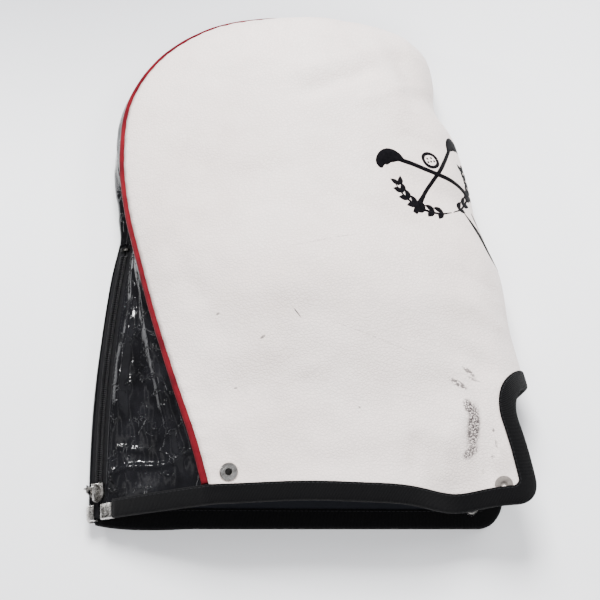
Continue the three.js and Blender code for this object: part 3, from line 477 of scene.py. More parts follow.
# ------------------------------------------------------------------ materials
class Look:
    """A material being put together: each method adds nodes and returns an output socket."""

    def __init__(self, name):
        self.material = bpy.data.materials.new(name)
        self.material.use_nodes = True
        self.nodes = self.material.node_tree.nodes
        self.shader = self.nodes["Principled BSDF"]
        self.place = self.nodes.new("ShaderNodeTexCoord").outputs["Object"]

    def feed(self, socket, value):
        """Gives an input socket another node's output, a colour or a number."""
        if isinstance(value, bpy.types.NodeSocket):
            self.material.node_tree.links.new(value, socket)
        elif socket.type == "RGBA":
            socket.default_value = (*value, 1)
        else:
            socket.default_value = value

    def add(self, kind, vector=None, **values):
        """A node: capitalised names are its input sockets, and the others are its own settings."""
        item = self.nodes.new("ShaderNode" + kind)
        for name, value in values.items():
            if name[0].isupper():
                self.feed(item.inputs[name.replace("_", " ")], value)
            else:
                setattr(item, name, value)
        if vector:
            self.feed(item.inputs["Vector"], vector)
        return item

    def noise(self, scale, detail=3.0, rough=0.5):
        return self.add("TexNoise", self.place, Scale=scale, Detail=detail, Roughness=rough).outputs["Fac"]

    def ramp(self, value, *stops):
        """A colour for each value: each stop is a position and a colour or a grey."""
        item = self.add("ValToRGB", Fac=value)
        elements = item.color_ramp.elements
        while len(elements) < len(stops):
            elements.new(0.5)
        for element, (position, colour) in zip(elements, stops):
            element.position = position
            element.color = (*colour, 1) if isinstance(colour, tuple) else (colour, colour, colour, 1)
        return item.outputs["Color"]

    def span(self, value, first, last, low=0.0, high=1.0, curve="SMOOTHSTEP"):
        """Carries first..last over to low..high, and no further."""
        item = self.add("MapRange", interpolation_type=curve, Value=value,
                        From_Min=first, From_Max=last, To_Min=low, To_Max=high)
        return item.outputs[0]

    def maths(self, operation, *values):
        item = self.add("Math", operation=operation)
        for socket, value in zip(item.inputs, values):
            self.feed(socket, value)
        return item.outputs[0]

    def product(self, first, *others):
        for value in others:
            first = self.maths("MULTIPLY", first, value)
        return first

    def mix(self, factor, a, b):
        item = self.add("Mix", data_type="RGBA")
        for number, value in ((0, factor), (6, a), (7, b)):
            self.feed(item.inputs[number], value)
        return item.outputs[2]

    def warped(self, scale, detail, reach):
        """The object's coordinates, pushed about by a noise."""
        push = self.add("TexNoise", self.place, Scale=scale, Detail=detail).outputs["Color"]
        item = self.add("VectorMath", operation="MULTIPLY_ADD")
        for socket, value in zip(item.inputs, (push, (reach,) * 3, self.place)):
            self.feed(socket, value)
        return item.outputs[0]

    def cell_edges(self, vector, scale):
        return self.add("TexVoronoi", vector, feature="DISTANCE_TO_EDGE", Scale=scale).outputs["Distance"]

    def blot(self, centre, size, angle, soft=0.35):
        """1 inside an ellipse of the object's plan, fading at its rim. Centre and size in mm."""
        mapping = self.add("Mapping", self.place, vector_type="TEXTURE",
                           Location=(centre[0] * MM, centre[1] * MM, 0),
                           Rotation=(0, 0, math.radians(angle)),
                           Scale=(size[0] * MM, size[1] * MM, 1e6))
        length = self.add("VectorMath", mapping.outputs[0], operation="LENGTH")
        return self.span(length.outputs["Value"], 1 - soft, 1 + soft, 1, 0)

    def finish(self, colour, roughness, *bumps, **constants):
        """Feeds the shader. Each bump is a height socket, its depth in mm and its strength."""
        self.feed(self.shader.inputs["Base Color"], colour)
        self.feed(self.shader.inputs["Roughness"], roughness)
        for name, value in constants.items():
            self.shader.inputs[name.replace("_", " ")].default_value = value
        normal = None
        for height, depth, strength in bumps:
            bump = self.add("Bump", Strength=strength, Distance=depth * MM, Height=height)
            if normal:
                self.feed(bump.inputs["Normal"], normal)
            normal = bump.outputs["Normal"]
        if normal:
            self.feed(self.shader.inputs["Normal"], normal)
        return self.material


# Marks of wear on the upper side, and one patch of painted shade where the corner turns up: centre and half
# size in mm, angle, strength, and how finely it breaks up.
SCUFFS_AND_SHADE = [
    ((139, -129), (5.0, 17), -6, 1.0, 760),
    ((136, -113), (4.0, 7), 24, 1.0, 760),
    ((136, -149), (7, 3.5), 35, 0.9, 760),
    ((138, -131), (7, 26), -4, 0.30, 1300),
    ((155, -131), (1.0, 1.6), 20, 0.8, 900),
    ((157, -142), (0.9, 3.2), 8, 0.7, 900),
    ((154, -152), (1.5, 1.2), 30, 0.75, 900),
    ((146, -163), (1.0, 1.8), 15, 0.45, 900),
    # painted shade, not wear: a faint soft darkening in the hollow where the corner turns up
    ((162, -156), (9, 10), -35, 0.14, 40),
    ((128, -94), (8, 2.2), -30, 0.85, 420),
    ((137, -84), (6, 1.8), -38, 0.80, 420),
    ((141, -90), (5, 1.2), -20, 0.60, 420),
    ((-2.5, -40.5), (5.2, 0.45), -52, 1.0, 60),
    ((-67, -38), (1.5, 0.9), 10, 0.7, 60),
    ((-30, -59), (2.4, 1.0), 35, 0.8, 60),
    ((48, -115), (1.8, 0.8), 0, 0.7, 60),
    ((-52, -98), (1.3, 0.8), 0, 0.6, 60),
    ((20, 20), (30, 0.5), 12, 0.30, 500),
    ((60, -60), (40, 0.5), -20, 0.25, 500),
]
SCUFF_AND_SHADE_TONE = (0.05, 0.042, 0.042)
UPPER_SIDE = (0.030, 0.038)      # the heights in metres over which the marks come in


def white_leatherette():
    look = Look("white_leatherette")
    tone = look.ramp(look.noise(9.0, 4.0, 0.55),
                     (0.3, (0.66, 0.575, 0.535)), (0.5, (0.745, 0.665, 0.625)), (0.72, (0.79, 0.715, 0.68)))
    tone = look.mix(look.product(look.noise(31.0, 2.0), 0.35), tone, (0.77, 0.64, 0.615))
    grain = look.span(look.cell_edges(look.warped(240.0, 2.0, 0.0016), 370.0), 0, 0.20)
    patchy = look.noise(45.0, 3.0, 0.6)
    # Darkens the grain's grooves, more in some patches than in others.
    groove_darkening = look.product(look.maths("SUBTRACT", 1.0, grain), patchy, 0.42)
    tone = look.mix(groove_darkening, tone, (0.42, 0.39, 0.37))
    height = look.add("SeparateXYZ", look.place).outputs["Z"]
    above = look.span(height, *UPPER_SIDE, curve="LINEAR")
    # Each mark darkens the upper side: the scuffs are wear, and the patch at the upturned corner is painted
    # shade.
    for centre, size, angle, strength, scale in SCUFFS_AND_SHADE:
        mask = look.blot(np.add(centre, SHIFT[:2]), size, angle)
        broken = look.span(look.noise(scale, 4.0, 0.7), 0.43, 0.50, curve="LINEAR")
        tone = look.mix(look.product(mask, broken, above, strength), tone, SCUFF_AND_SHADE_TONE)
    rough = look.ramp(patchy, (0.3, 0.44), (0.7, 0.58))
    return look.finish(tone, rough, (grain, 0.22, 0.8), (look.noise(150.0, 4.0, 0.6), 0.7, 0.35),
                       Specular_IOR_Level=0.4)


def black_patent():
    look = Look("black_patent")
    tone = look.ramp(look.noise(40.0, 4.0), (0.35, (0.0035, 0.0035, 0.004)), (0.7, (0.008, 0.008, 0.0095)))
    rough = look.ramp(look.noise(300.0, 5.0, 0.7), (0.4, 0.06), (0.75, 0.20))
    bent = look.warped(60.0, 3.0, 0.012)
    creases = []
    for scale, width, depth in ((52.0, 0.055, 1.5), (120.0, 0.07, 0.7)):
        line = look.span(look.cell_edges(bent, scale), 0, width, 1, 0)
        patches = look.span(look.noise(scale * 0.7, 2.0), 0.52, 0.66)
        creases.append((look.product(line, patches), depth, 0.75))
    return look.finish(tone, rough, (look.noise(45.0, 2.0), 3.0, 0.08), *creases,
                       (look.noise(260.0, 3.0, 0.6), 0.6, 0.25),
                       Specular_IOR_Level=0.2, Coat_Weight=0.06, Coat_Roughness=0.04)


BANDS = 0.314       # the wave texture's scale for one thread in each unit of length


def cloth(name, dark, light, thread, depth):
    """A woven cloth or ribbed tape: thread is its pitch in mm along the strip (U) and across it."""
    look = Look(name)
    strip = look.add("TexCoord").outputs["UV"]
    ribs = look.add("TexWave", strip, bands_direction="X", Scale=BANDS / (thread[0] * MM),
                    Distortion=0.6, Detail=2.0, Detail_Scale=3.0)
    weft = look.add("TexWave", strip, bands_direction="Y", Scale=BANDS / (thread[1] * MM), Distortion=0.4)
    weave = look.product(ribs.outputs["Fac"], look.maths("ADD", weft.outputs["Fac"], 0.6))
    height = look.maths("ADD", weave, look.product(look.noise(900.0, 3.0, 0.7), 0.35))
    worn = look.product(look.noise(28.0, 4.0, 0.6), 0.35)
    tone = look.mix(worn, look.mix(weave, dark, light), light)
    return look.finish(tone, 0.85, (height, depth, 0.6),
                       Specular_IOR_Level=0.08, Sheen_Weight=0.04, Sheen_Roughness=0.5)


def red_vinyl():
    look = Look("red_vinyl")
    tone = look.ramp(look.noise(60.0, 4.0, 0.6), (0.3, (0.060, 0.004, 0.007)), (0.7, (0.120, 0.0065, 0.011)))
    return look.finish(tone, 0.42, (look.noise(420.0, 3.0, 0.6), 0.5, 0.3), Specular_IOR_Level=0.08)


def nickel(name, dark, light, metallic=1.0, rough=(0.20, 0.46)):
    look = Look(name)
    patches = look.noise(210.0, 5.0, 0.7)
    tone = look.ramp(patches, (0.36, dark), (0.62, light))
    dull = look.ramp(look.noise(520.0, 4.0, 0.7), (0.35, rough[0]), (0.7, rough[1]))
    return look.finish(tone, dull, (patches, 0.25, 0.25), Metallic=metallic)


def printed_ink():
    look = Look("printed_ink")
    tone = look.ramp(look.noise(320.0, 4.0, 0.7),
                     (0.35, (0.0022, 0.0021, 0.0027)), (0.75, (0.0052, 0.0048, 0.0058)))
    return look.finish(tone, 0.7, (look.noise(620.0, 3.0, 0.6), 0.4, 0.35), Specular_IOR_Level=0.08)


def coil_plastic():
    look = Look("coil_plastic")
    tone = look.ramp(look.noise(200.0), (0.3, (0.005, 0.005, 0.0055)), (0.7, (0.016, 0.016, 0.017)))
    return look.finish(tone, 0.34, (look.noise(1500.0, 2.0), 0.2, 0.2))


def sweep_paper():
    """Paper with painted shade towards the back and painted light towards the right."""
    look = Look("sweep_paper")
    parts = look.add("SeparateXYZ", look.place).outputs
    tone = look.ramp(look.noise(3.0), (0.3, (0.82, 0.825, 0.84)), (0.7, (0.85, 0.855, 0.87)))
    # Painted shade: the floor darkens towards the back.
    tone = look.mix(look.span(parts["Y"], 0.02, 0.42), tone, (0.33, 0.335, 0.36))
    # Painted light: the floor brightens towards the right.
    right = look.product(look.span(parts["X"], -0.25, 0.30), 0.55)
    tone = look.mix(right, tone, (0.96, 0.965, 0.98))
    return look.finish(tone, 0.6, (look.noise(600.0, 2.0), 0.1, 0.1))


def flag_cloth():
    look = Look("flag_cloth")
    return look.finish(look.ramp(look.noise(4.0), (0.3, 0.004), (0.7, 0.008)), 0.5)


WHITE = white_leatherette()
PATENT = black_patent()
TAPE = cloth("grosgrain", (0.001, 0.001, 0.0012), (0.0048, 0.0048, 0.0052), (1.15, 0.45), 0.55)
ZIP_TAPE = cloth("zip_cloth", (0.0015, 0.0015, 0.0018), (0.009, 0.009, 0.010), (0.9, 0.5), 0.35)
LINING = cloth("navy_cloth", (0.006, 0.0066, 0.009), (0.020, 0.0215, 0.026), (0.7, 0.7), 0.25)
THREAD = cloth("dark_thread", (0.004, 0.004, 0.005), (0.022, 0.022, 0.024), (0.35, 0.35), 0.2)
RED = red_vinyl()
NICKEL = nickel("worn_nickel", (0.30, 0.285, 0.265), (0.72, 0.70, 0.67))
DARK_CAP = nickel("tarnished_nickel", (0.13, 0.115, 0.105), (0.19, 0.17, 0.155), 0.2, (0.6, 0.75))
# Painted shade: nickel made nearly black for the zip's end stop, where it lies hidden under the patent, and
# for the holes in the back studs' caps.
SHADE_NICKEL = nickel("painted_shade_nickel", (0.02, 0.019, 0.018), (0.07, 0.067, 0.063))
INK = printed_ink()
COIL = coil_plastic()


# ------------------------------------------------------------------ front panel and its lining
HEM_COLUMNS, CORNER_STEPS, SIDE_STEPS, ARCH_STEPS, TIP_ROWS = 84, 16, 12, 26, 150
COLUMNS = HEM_COLUMNS + CORNER_STEPS // 2
NOTCH_ROWS = CORNER_STEPS // 2 + SIDE_STEPS + ARCH_STEPS
SHEET_TOP = 642.0
SPREAD = 1.3                  # columns crowd towards the fold by this power
PANEL_CLEAR, LINING_CLEAR = 2.95, 2.4
SHEET_INSET = 1.3             # from the cut edge inside the binding


def seam_stop(side, along, clear):
    end = front.limits(along)[0 if side < 0 else 1]
    return end - side * min(clear, 0.8 * abs(end))


def free_edge(side, inset, clear):
    """The hem and notch of one half of the front, moved inward: (across, along) pairs."""
    half, radius = NOTCH_HALF_WIDTH + inset, CORNER_RADIUS - inset
    arch_start = NOTCH_DEPTH - NOTCH_HALF_WIDTH
    start = seam_stop(side, inset, clear)
    corner = side * (half + radius) + notch_centre(inset)
    points = [(lerp(start, corner, 1 - (1 - i / HEM_COLUMNS) ** SPREAD), inset) for i in range(HEM_COLUMNS)]

    def put(from_centre, along):
        points.append((side * from_centre + notch_centre(along), along))
    for i in range(CORNER_STEPS + 1):
        angle = TURN / 4 * i / CORNER_STEPS
        put(half + radius * (1 - math.sin(angle)), inset + radius * (1 - math.cos(angle)))
    for i in range(1, SIDE_STEPS):
        put(half, lerp(CORNER_RADIUS, arch_start, i / SIDE_STEPS))
    for i in range(ARCH_STEPS + 1):
        angle = TURN / 4 * i / ARCH_STEPS
        put(half * math.cos(angle), arch_start + half * math.sin(angle))
    return np.array(points)


def front_half(side, clear):
    """Rows of (across, along) over one half of the front panel, from the hem to the tip."""
    edge = free_edge(side, SHEET_INSET, clear)
    bottom, right = edge[:COLUMNS + 1], edge[COLUMNS:]
    apex = right[-1][1]
    over = np.linspace(0, 1, COLUMNS + 1)
    share = 1 - (1 - over) ** SPREAD
    high_left = np.array([seam_stop(side, apex, clear), apex])
    top = high_left + (np.array([0, apex]) - high_left) * share[:, None]
    low_line = lerp(bottom[0], bottom[-1], over[:, None])
    high_line = lerp(high_left, right[-1], over[:, None])
    rows = []
    for j in range(NOTCH_ROWS + 1):
        up = j / NOTCH_ROWS
        left_along = lerp(SHEET_INSET, apex, up)
        left = np.array([seam_stop(side, left_along, clear), left_along])
        sided = lerp(left, right[j], over[:, None])
        rows.append(lerp(bottom, top, up) + sided - lerp(low_line, high_line, up))
    for along in np.linspace(apex, SHEET_TOP, TIP_ROWS)[1:]:
        start = seam_stop(side, along, clear)
        rows.append(np.column_stack([lerp(start, 0, share), np.full(len(share), along)]))
    return np.array(rows)


def front_layer(name, span, clear, material, slot, node):
    """One layer of the front: two halves that share their points along the fold."""
    places, quads, index = [], [], {}
    for side in (-1, 1):
        half = front_half(side, clear)
        rows, columns = half.shape[:2]
        numbers = np.zeros((rows, columns), int)
        for j in range(rows):
            for i in range(columns):
                key = tuple(half[j, i].round(4)) if i == columns - 1 else (side, j, i)
                if key not in index:
                    index[key] = len(places)
                    places.append(half[j, i])
                numbers[j, i] = index[key]
        for j in range(rows - 1):
            for i in range(columns - 1):
                quad = (numbers[j, i], numbers[j, i + 1], numbers[j + 1, i + 1], numbers[j + 1, i])
                quads.append(quad[::-side])
    across, along = np.array(places).T
    relief = front_relief(across, along)
    build_sheet(name, front, across, along, span, relief, quads, material, slot, [node])


front_layer("front_panel_leatherette", OUTER, PANEL_CLEAR, WHITE, "white_leatherette", "front_panel")
front_layer("front_lining_cloth", INNER, LINING_CLEAR, LINING, "navy_lining", "front_lining")


# ------------------------------------------------------------------ gusset, its lining and the zip tapes
GUSSET_ALONGS = np.concatenate(
    [np.linspace(1.6, 210, 190), np.linspace(211, 240, 60), np.linspace(242, SHEET_TOP, 150)])
TAPE_ALONGS = np.linspace(1.6, TAPE_TOP, 120)
GUSSET_SHARES = np.linspace(0, 1, 72) ** 1.1
TAPE_SHARES = np.linspace(0, 1, 16)
PATENT_CLEAR = 2.6
LINING_EDGE = 14.6
TAPE_START, TAPE_SPAN = 0.8, (-0.95, -0.15)
CLOSED = 0.02                 # from the zip's line, where a layer closes over it


def opening(edge, top):
    """The first column of a layer that leaves the zip free up to top, and closes over it after."""
    return lambda along: lerp(edge, CLOSED, smoothstep(along, top - 1.0, top + 2.5))


def strip(name, part, alongs, first, last, shares, relief_of, span, material, slot, node):
    """A layer of the gusset between its first and last columns, row by row."""
    first, last = (bound(alongs) if callable(bound) else bound for bound in (first, last))
    start = np.minimum(first, 0.9 * last)
    across = start[:, None] + (np.broadcast_to(last, alongs.shape) - start)[:, None] * shares
    along = np.repeat(alongs[:, None], len(shares), axis=1)
    quads = grid_quads(*across.shape)
    across, along = across.ravel(), along.ravel()
    relief = relief_of(part, across, along) if relief_of else np.zeros_like(across)
    build_sheet(name, part, across, along, span, relief, quads, material, slot, [node])


for label, part, side in HALVES:
    def short_of_seam(alongs, clear, part=part):
        limit = part.limits(alongs)[1]
        return limit - np.minimum(clear, 0.8 * limit)

    strip(f"gusset_{label}_patent", part, GUSSET_ALONGS, opening(WINDOW_EDGE, WINDOW_TOP),
          lambda alongs: short_of_seam(alongs, PATENT_CLEAR), GUSSET_SHARES, gusset_relief, OUTER,
          PATENT, "black_patent", f"gusset_{label}")
    strip(f"gusset_lining_{label}_cloth", part, GUSSET_ALONGS[::2], opening(LINING_EDGE, TAPE_TOP + 1),
          lambda alongs: short_of_seam(alongs, LINING_CLEAR), GUSSET_SHARES[::2], gusset_relief, INNER,
          LINING, "navy_lining", f"gusset_lining_{label}")
    strip(f"zip_tape_{label}_cloth", part, TAPE_ALONGS, lambda alongs: np.full(len(alongs), TAPE_START),
          TAPE_EDGE, TAPE_SHARES, None, TAPE_SPAN, ZIP_TAPE, "black_tape", f"zip_tape_{label}")


# ------------------------------------------------------------------ piping
PIPING_SIDES, TIP_RINGS = 14, 14


def seam_normal(part, side, along):
    from_front = front.normal(front.limits(along)[0 if side < 0 else 1], along)
    return unit(from_front + part.normal(part.limits(along)[1], along))


def seam_place(side, along):
    """Where the seam curve has come this far from the hem, on the upper or the lower side."""
    share = along / LENGTH / 2
    return share if side < 0 else 1 - share


def piping():
    alongs = np.concatenate([np.linspace(BINDING_WIDTH + 1, 560, 190), np.linspace(563, 641, 60)])
    stops = [(part, side, along)
             for (_, part, side), row in zip(HALVES, (alongs, alongs[::-1])) for along in row]
    normals = [seam_normal(*stop) for stop in stops]
    places = [seam_place(side, along) for _, side, along in stops]
    half = len(alongs)
    bridge = np.linspace(0, 1, TIP_RINGS + 2)[1:-1]
    for values in (places, normals):
        values[half:half] = [lerp(values[half - 1], values[half], t) for t in bridge]
    points, uv, run, last = [], [], 0.0, None
    for place, normal in zip(places, normals):
        tangent = unit(seam_at(place + 0.0008) - seam_at(place - 0.0008))
        across = unit(np.cross(tangent, normal))
        up = np.cross(across, tangent)
        centre = seam_at(place) + up * PIPING_LIFT
        run += 0 if last is None else np.linalg.norm(centre - last)
        last = centre
        swell = PIPING_RADIUS + 0.06 * math.sin(run / 4.1) + 0.05 * math.sin(run / 11)
        for i in range(PIPING_SIDES):
            angle = TURN * i / PIPING_SIDES
            points.append(centre + swell * (across * math.cos(angle) + up * math.sin(angle)))
            uv.append((run, i * 1.1))
    build_tube("seam_piping_vinyl", points, PIPING_SIDES, RED, "red_vinyl", ["seam_piping"], uv)


piping()


# ------------------------------------------------------------------ hem binding
BINDING_CLEAR = 3.1           # between the binding and the seams
BINDING_START = 14.7          # the binding's first column beside the zip tape
GUSSET_STATIONS = 26
TAPE_BULGE, TAPE_ROUND, EDGE_SOFT = 0.25, 2.2, 0.35


def tape_section():
    """The folded tape in section, from the outer leg's inner edge round the hem and back."""
    width, thick = BINDING_WIDTH, BINDING_THICK
    inner, outer = BINDING_INNER, BINDING_OUTER
    high, low = outer + thick, inner - thick
    middle, half = (high + low) / 2, (high - low) / 2
    bulges = [(x, TAPE_BULGE * math.sin(math.pi * x / width)) for x in np.linspace(width - 2, 3, 7)]
    outside = [(width, high - EDGE_SOFT), (width - 0.5, high)] + [(x, high + bulge) for x, bulge in bulges]
    for angle in np.linspace(0, math.pi, 11):
        outside.append((TAPE_ROUND * (1 - math.sin(angle)), middle + half * math.cos(angle)))
    outside += [(x, low - bulge) for x, bulge in bulges[::-1]]
    outside += [(width - 0.5, low), (width, low + EDGE_SOFT)]
    inside = [(width - 0.2, inner), (width / 2, inner), (thick + 0.3, inner)]
    return outside + inside + [(x, outer) for x, _ in inside[::-1]]


def hem_stations():
    """Places along the bound edge: each gives the skin's point, normal and relief at an inset."""
    def seam_station(part, side):
        return lambda inset: (seam_at(seam_place(side, inset)), seam_normal(part, side, inset), 0.0)

    def gusset_station(part, share):
        def at(inset):
            across = lerp(BINDING_START, part.limits(inset)[1] - BINDING_CLEAR, share)
            return part.point(across, inset), part.normal(across, inset), 0.0
        return at

    def edge_station(number, table):
        def at(inset):
            across, along = table(inset)[number]
            return front.point(across, along), front.normal(across, along), float(front_relief(across, along))
        return at
    halves = []
    for _, part, side in HALVES:
        cache = {}

        def table(inset, side=side, cache=cache):
            if inset not in cache:
                cache[inset] = free_edge(side, inset, BINDING_CLEAR)
            return cache[inset]
        stations = [gusset_station(part, share) for share in np.linspace(0, 1, GUSSET_STATIONS)]
        stations.append(seam_station(part, side))
        stations += [edge_station(i, table) for i in range(len(table(0.0)))]
        halves.append(stations)
    halves[1].pop()
    return halves[0] + halves[1][::-1]


def hem_binding():
    section = tape_section()
    girth = np.concatenate([[0], np.cumsum([math.dist(a, b) for a, b in zip(section, section[1:])])])
    points, uv, run, last = [], [], 0.0, None
    for station in hem_stations():
        base = station(0.0)[0]
        run += 0 if last is None else np.linalg.norm(base - last)
        last = base
        for (inset, height), distance in zip(section, girth):
            point, normal, relief = station(inset)
            points.append(point + normal * (height + relief))
            uv.append((run, distance))
    build_tube("hem_binding_tape", points, len(section), TAPE, "black_tape", ["hem_binding"], uv)


hem_binding()


# ------------------------------------------------------------------ hardware kept from the frame
def refined(name, node, body, bevel, material=NICKEL):
    """A copy of a CAD node with softened edges."""
    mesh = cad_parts[node].data.copy()
    mesh.materials.clear()
    mesh.materials.append(material)
    obj = link(name, mesh)
    weld = obj.modifiers.new("weld", "WELD")
    weld.merge_threshold = 0.00001
    edge = obj.modifiers.new("bevel", "BEVEL")
    edge.width = bevel * MM
    edge.segments = 3
    edge.limit_method = "ANGLE"
    edge.angle_limit = math.radians(38)
    edge.harden_normals = True
    bpy.context.view_layer.objects.active = obj
    for modifier in ("weld", "bevel"):
        with bpy.context.temp_override(object=obj, active_object=obj, selected_objects=[obj]):
            bpy.ops.object.modifier_apply(modifier=modifier)
    for polygon in obj.data.polygons:
        polygon.use_smooth = True
    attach(obj, body)
    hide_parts(node)


refined("zip_slider_metal", "zip_slider", "slider", 0.22)
refined("pull_link_wire", "pull_link", "link", 0.3)
refined("zip_pull_metal", "zip_pull", "pull", 0.25)
# The end stop is painted dark, as the shade under the patent that hides it.
refined("zip_end_stop_metal", "zip_end_stop", ROOT_BODY, 0.4, SHADE_NICKEL)
for label in ("upper", "lower"):
    refined(f"hem_clip_{label}_metal", f"hem_clip_{label}", ROOT_BODY, 0.18)
    refined(f"stud_cap_front_{label}_metal", f"stud_cap_front_{label}", ROOT_BODY, 0.12, DARK_CAP)
    for end in ("front", "back"):
        refined(f"stud_socket_{end}_{label}_metal", f"stud_socket_{end}_{label}", ROOT_BODY, 0.12)


# ------------------------------------------------------------------ the zip's coils
COIL_PITCH, COIL_WIRE, COIL_STEPS, COIL_SIDES = 1.5, 0.36, 14, 6
COIL_CENTRE, COIL_HALF = (2.2, 1.05), (1.25, 0.62)    # across the tape and off it
COIL_SQUARE = 0.7                                     # below 1 the turns are squarer than an ellipse


def coil(label, part):
    """A flattened spiral of monofilament along one tape."""
    points, uv = [], []
    for i in range(int((CHAIN_TOP - CHAIN_FOOT) / COIL_PITCH) * COIL_STEPS + 1):
        angle = TURN * i / COIL_STEPS
        swing = (math.cos(angle), math.sin(angle))
        across, height = (centre + half * math.copysign(abs(s) ** COIL_SQUARE, s)
                          for centre, half, s in zip(COIL_CENTRE, COIL_HALF, swing))
        along = CHAIN_FOOT + COIL_PITCH * i / COIL_STEPS
        base = part.point(across, along)
        normal = part.normal(across, along)
        ahead = unit(part.point(across, along + 0.5) - base)
        radial = unit(part.point(across + 0.5, along) - base) * swing[0] + normal * swing[1]
        for k in range(COIL_SIDES):
            turn = TURN * k / COIL_SIDES
            offset = radial * math.cos(turn) + ahead * math.sin(turn)
            points.append(base + normal * height + COIL_WIRE * offset)
            uv.append((along, k * 0.3))
    name = f"zip_coil_{label}"
    build_tube(f"{name}_filament", points, COIL_SIDES, COIL, "black_coil", [name], uv)


for label, part, side in HALVES:
    coil(label, part)


# ------------------------------------------------------------------ emblem, printed across the fold
EMBLEM_CENTRE = np.array([-49.0, 288.0])
EMBLEM_RIGHT = np.array([1.04, 0.52])
EMBLEM_UP = np.array([-0.22, 1.12])
INK_SPAN = (1.55, 1.78)
STROKE_STEP = 1.4
WREATH_CENTRE, WREATH_SIZE, WREATH_STEMS = -2, (37, 31), 7
BALL_CENTRE, BALL_RADIUS = 14.5, 6.8


def tapered(start, end, thin):
    """A width along a stroke of 0..1, fullest near its middle."""
    return lambda t: lerp(start, end, t) * (thin + (1 - thin) * math.sin(math.pi * t))


def even(width):
    return lambda t: width


def stroke(path, width, drawn=True):
    """A printed stroke: rows of four places across its width, in the emblem's axes or the skin's."""
    centre = curve([(x, y, 0) for x, y in path])
    count = max(12, int(sum(math.dist(a, b) for a, b in zip(path, path[1:])) / STROKE_STEP))
    rows = []
    for t in np.arange(count + 1) / count:
        run = centre(min(1, t + 0.01))[:2] - centre(max(0, t - 0.01))[:2]
        run /= max(1e-9, np.linalg.norm(run))
        side = np.array([-run[1], run[0]]) * width(t) / 2
        rows += [centre(t)[:2] + side * k for k in (1, 0.33, -0.33, -1)]
    rows = np.array(rows)
    if drawn:
        rows = EMBLEM_CENTRE + rows[:, :1] * EMBLEM_RIGHT + rows[:, 1:] * EMBLEM_UP
    return rows, grid_quads(count + 1, 4)


def leaves():
    """The wreath's leaves on one side, each as the three points of a bowed stroke."""
    for k in range(WREATH_STEMS):
        angle = math.radians(256 - 13.5 * k)
        x = WREATH_SIZE[0] * math.cos(angle)
        y = WREATH_CENTRE + WREATH_SIZE[1] * math.sin(angle)
        for turn, reach in ((30, 10), (-35, 8.5)):
            lean = angle - math.radians(90 + turn)
            bow = (x + 0.5 * reach * math.cos(lean - 0.2), y + 0.5 * reach * math.sin(lean - 0.2))
            yield [(x, y), bow, (x + reach * math.cos(lean), y + reach * math.sin(lean))]


def emblem():
    """Crossed clubs in a wreath under a ball, with two ribbon strokes below."""
    drawing = [
        ([(-31, -22), (-8, -5), (12, 10), (27, 21)], even(3.4)),
        ([(-35, -25), (-28, -20), (-18, -12.6)], tapered(5.4, 4.4, 0.7)),
        ([(24, 19), (29, 24), (36, 27), (43, 24), (45, 19)], tapered(10, 15, 0.15)),
        ([(-1, -33), (-14, -31), (-27, -23), (-36, -10), (-39, 4)], tapered(2.4, 2.0, 0.3)),
    ]
    drawing += [(leaf, tapered(5.2, 4.4, 0.04)) for leaf in leaves()]
    strokes = [stroke([(x * mirror, y) for x, y in path], width)
               for mirror in (1, -1) for path, width in drawing]
    ball = [(BALL_RADIUS * math.cos(angle), BALL_CENTRE + BALL_RADIUS * math.sin(angle))
            for angle in np.linspace(0, TURN, 15)]
    strokes.append(stroke(ball, even(3.0)))
    for x, y in ((-2, 16.5), (2, 16.5), (0, 13.2), (-3.2, 13), (3.2, 13)):
        strokes.append(stroke([(x - 0.9, y), (x, y + 0.1), (x + 0.9, y)], even(1.9)))
    ribbon = [(-27, 258), (-21, 246), (-16, 232), (-14, 214), (-4, 204)]
    strokes.append(stroke(ribbon, tapered(6.5, 9.0, 0.1), False))
    strokes.append(stroke([(-12, 262), (-7, 246), (0, 232), (10, 224)], tapered(8.5, 5.0, 0.1), False))
    quads, count = [], 0
    for places, faces in strokes:
        quads += [tuple(i + count for i in q) for q in faces]
        count += len(places)
    across, along = np.vstack([places for places, _ in strokes]).T
    build_sheet("emblem_print", front, across, along, INK_SPAN, front_relief(across, along), quads,
                INK, "black_tape")


emblem()


# ------------------------------------------------------------------ stitching
STITCH_SIDES = 6
STITCH_LIFT = 0.12
HEM_STITCH_INSET, HEM_STITCH = 1.6, (3.6, 2.7, 0.55)        # each stitch: pitch, length and thickness
ZIP_STITCH_COLUMN, ZIP_STITCH = 10.6, (3.4, 2.5, 0.5)
STITCH_SHAPE = ((-0.5, 0.25), (-0.36, 0.8), (0, 1.0), (0.36, 0.8), (0.5, 0.25))   # along it and how full


def along_path(path, normals, pitch):
    """Even places along a polyline, as (centre, run, normal)."""
    path, normals = np.array(path), np.array(normals)
    lengths = np.concatenate([[0], np.cumsum(np.linalg.norm(np.diff(path, axis=0), axis=1))])

    def at(distance, table):
        return np.array([np.interp(distance, lengths, table[:, k]) for k in range(3)])
    for distance in np.arange(pitch, lengths[-1] - pitch, pitch):
        centre = at(distance, path)
        run = unit(at(distance + 1, path) - centre)
        normal = at(distance, normals)
        yield centre, run, unit(normal - run * normal.dot(run))


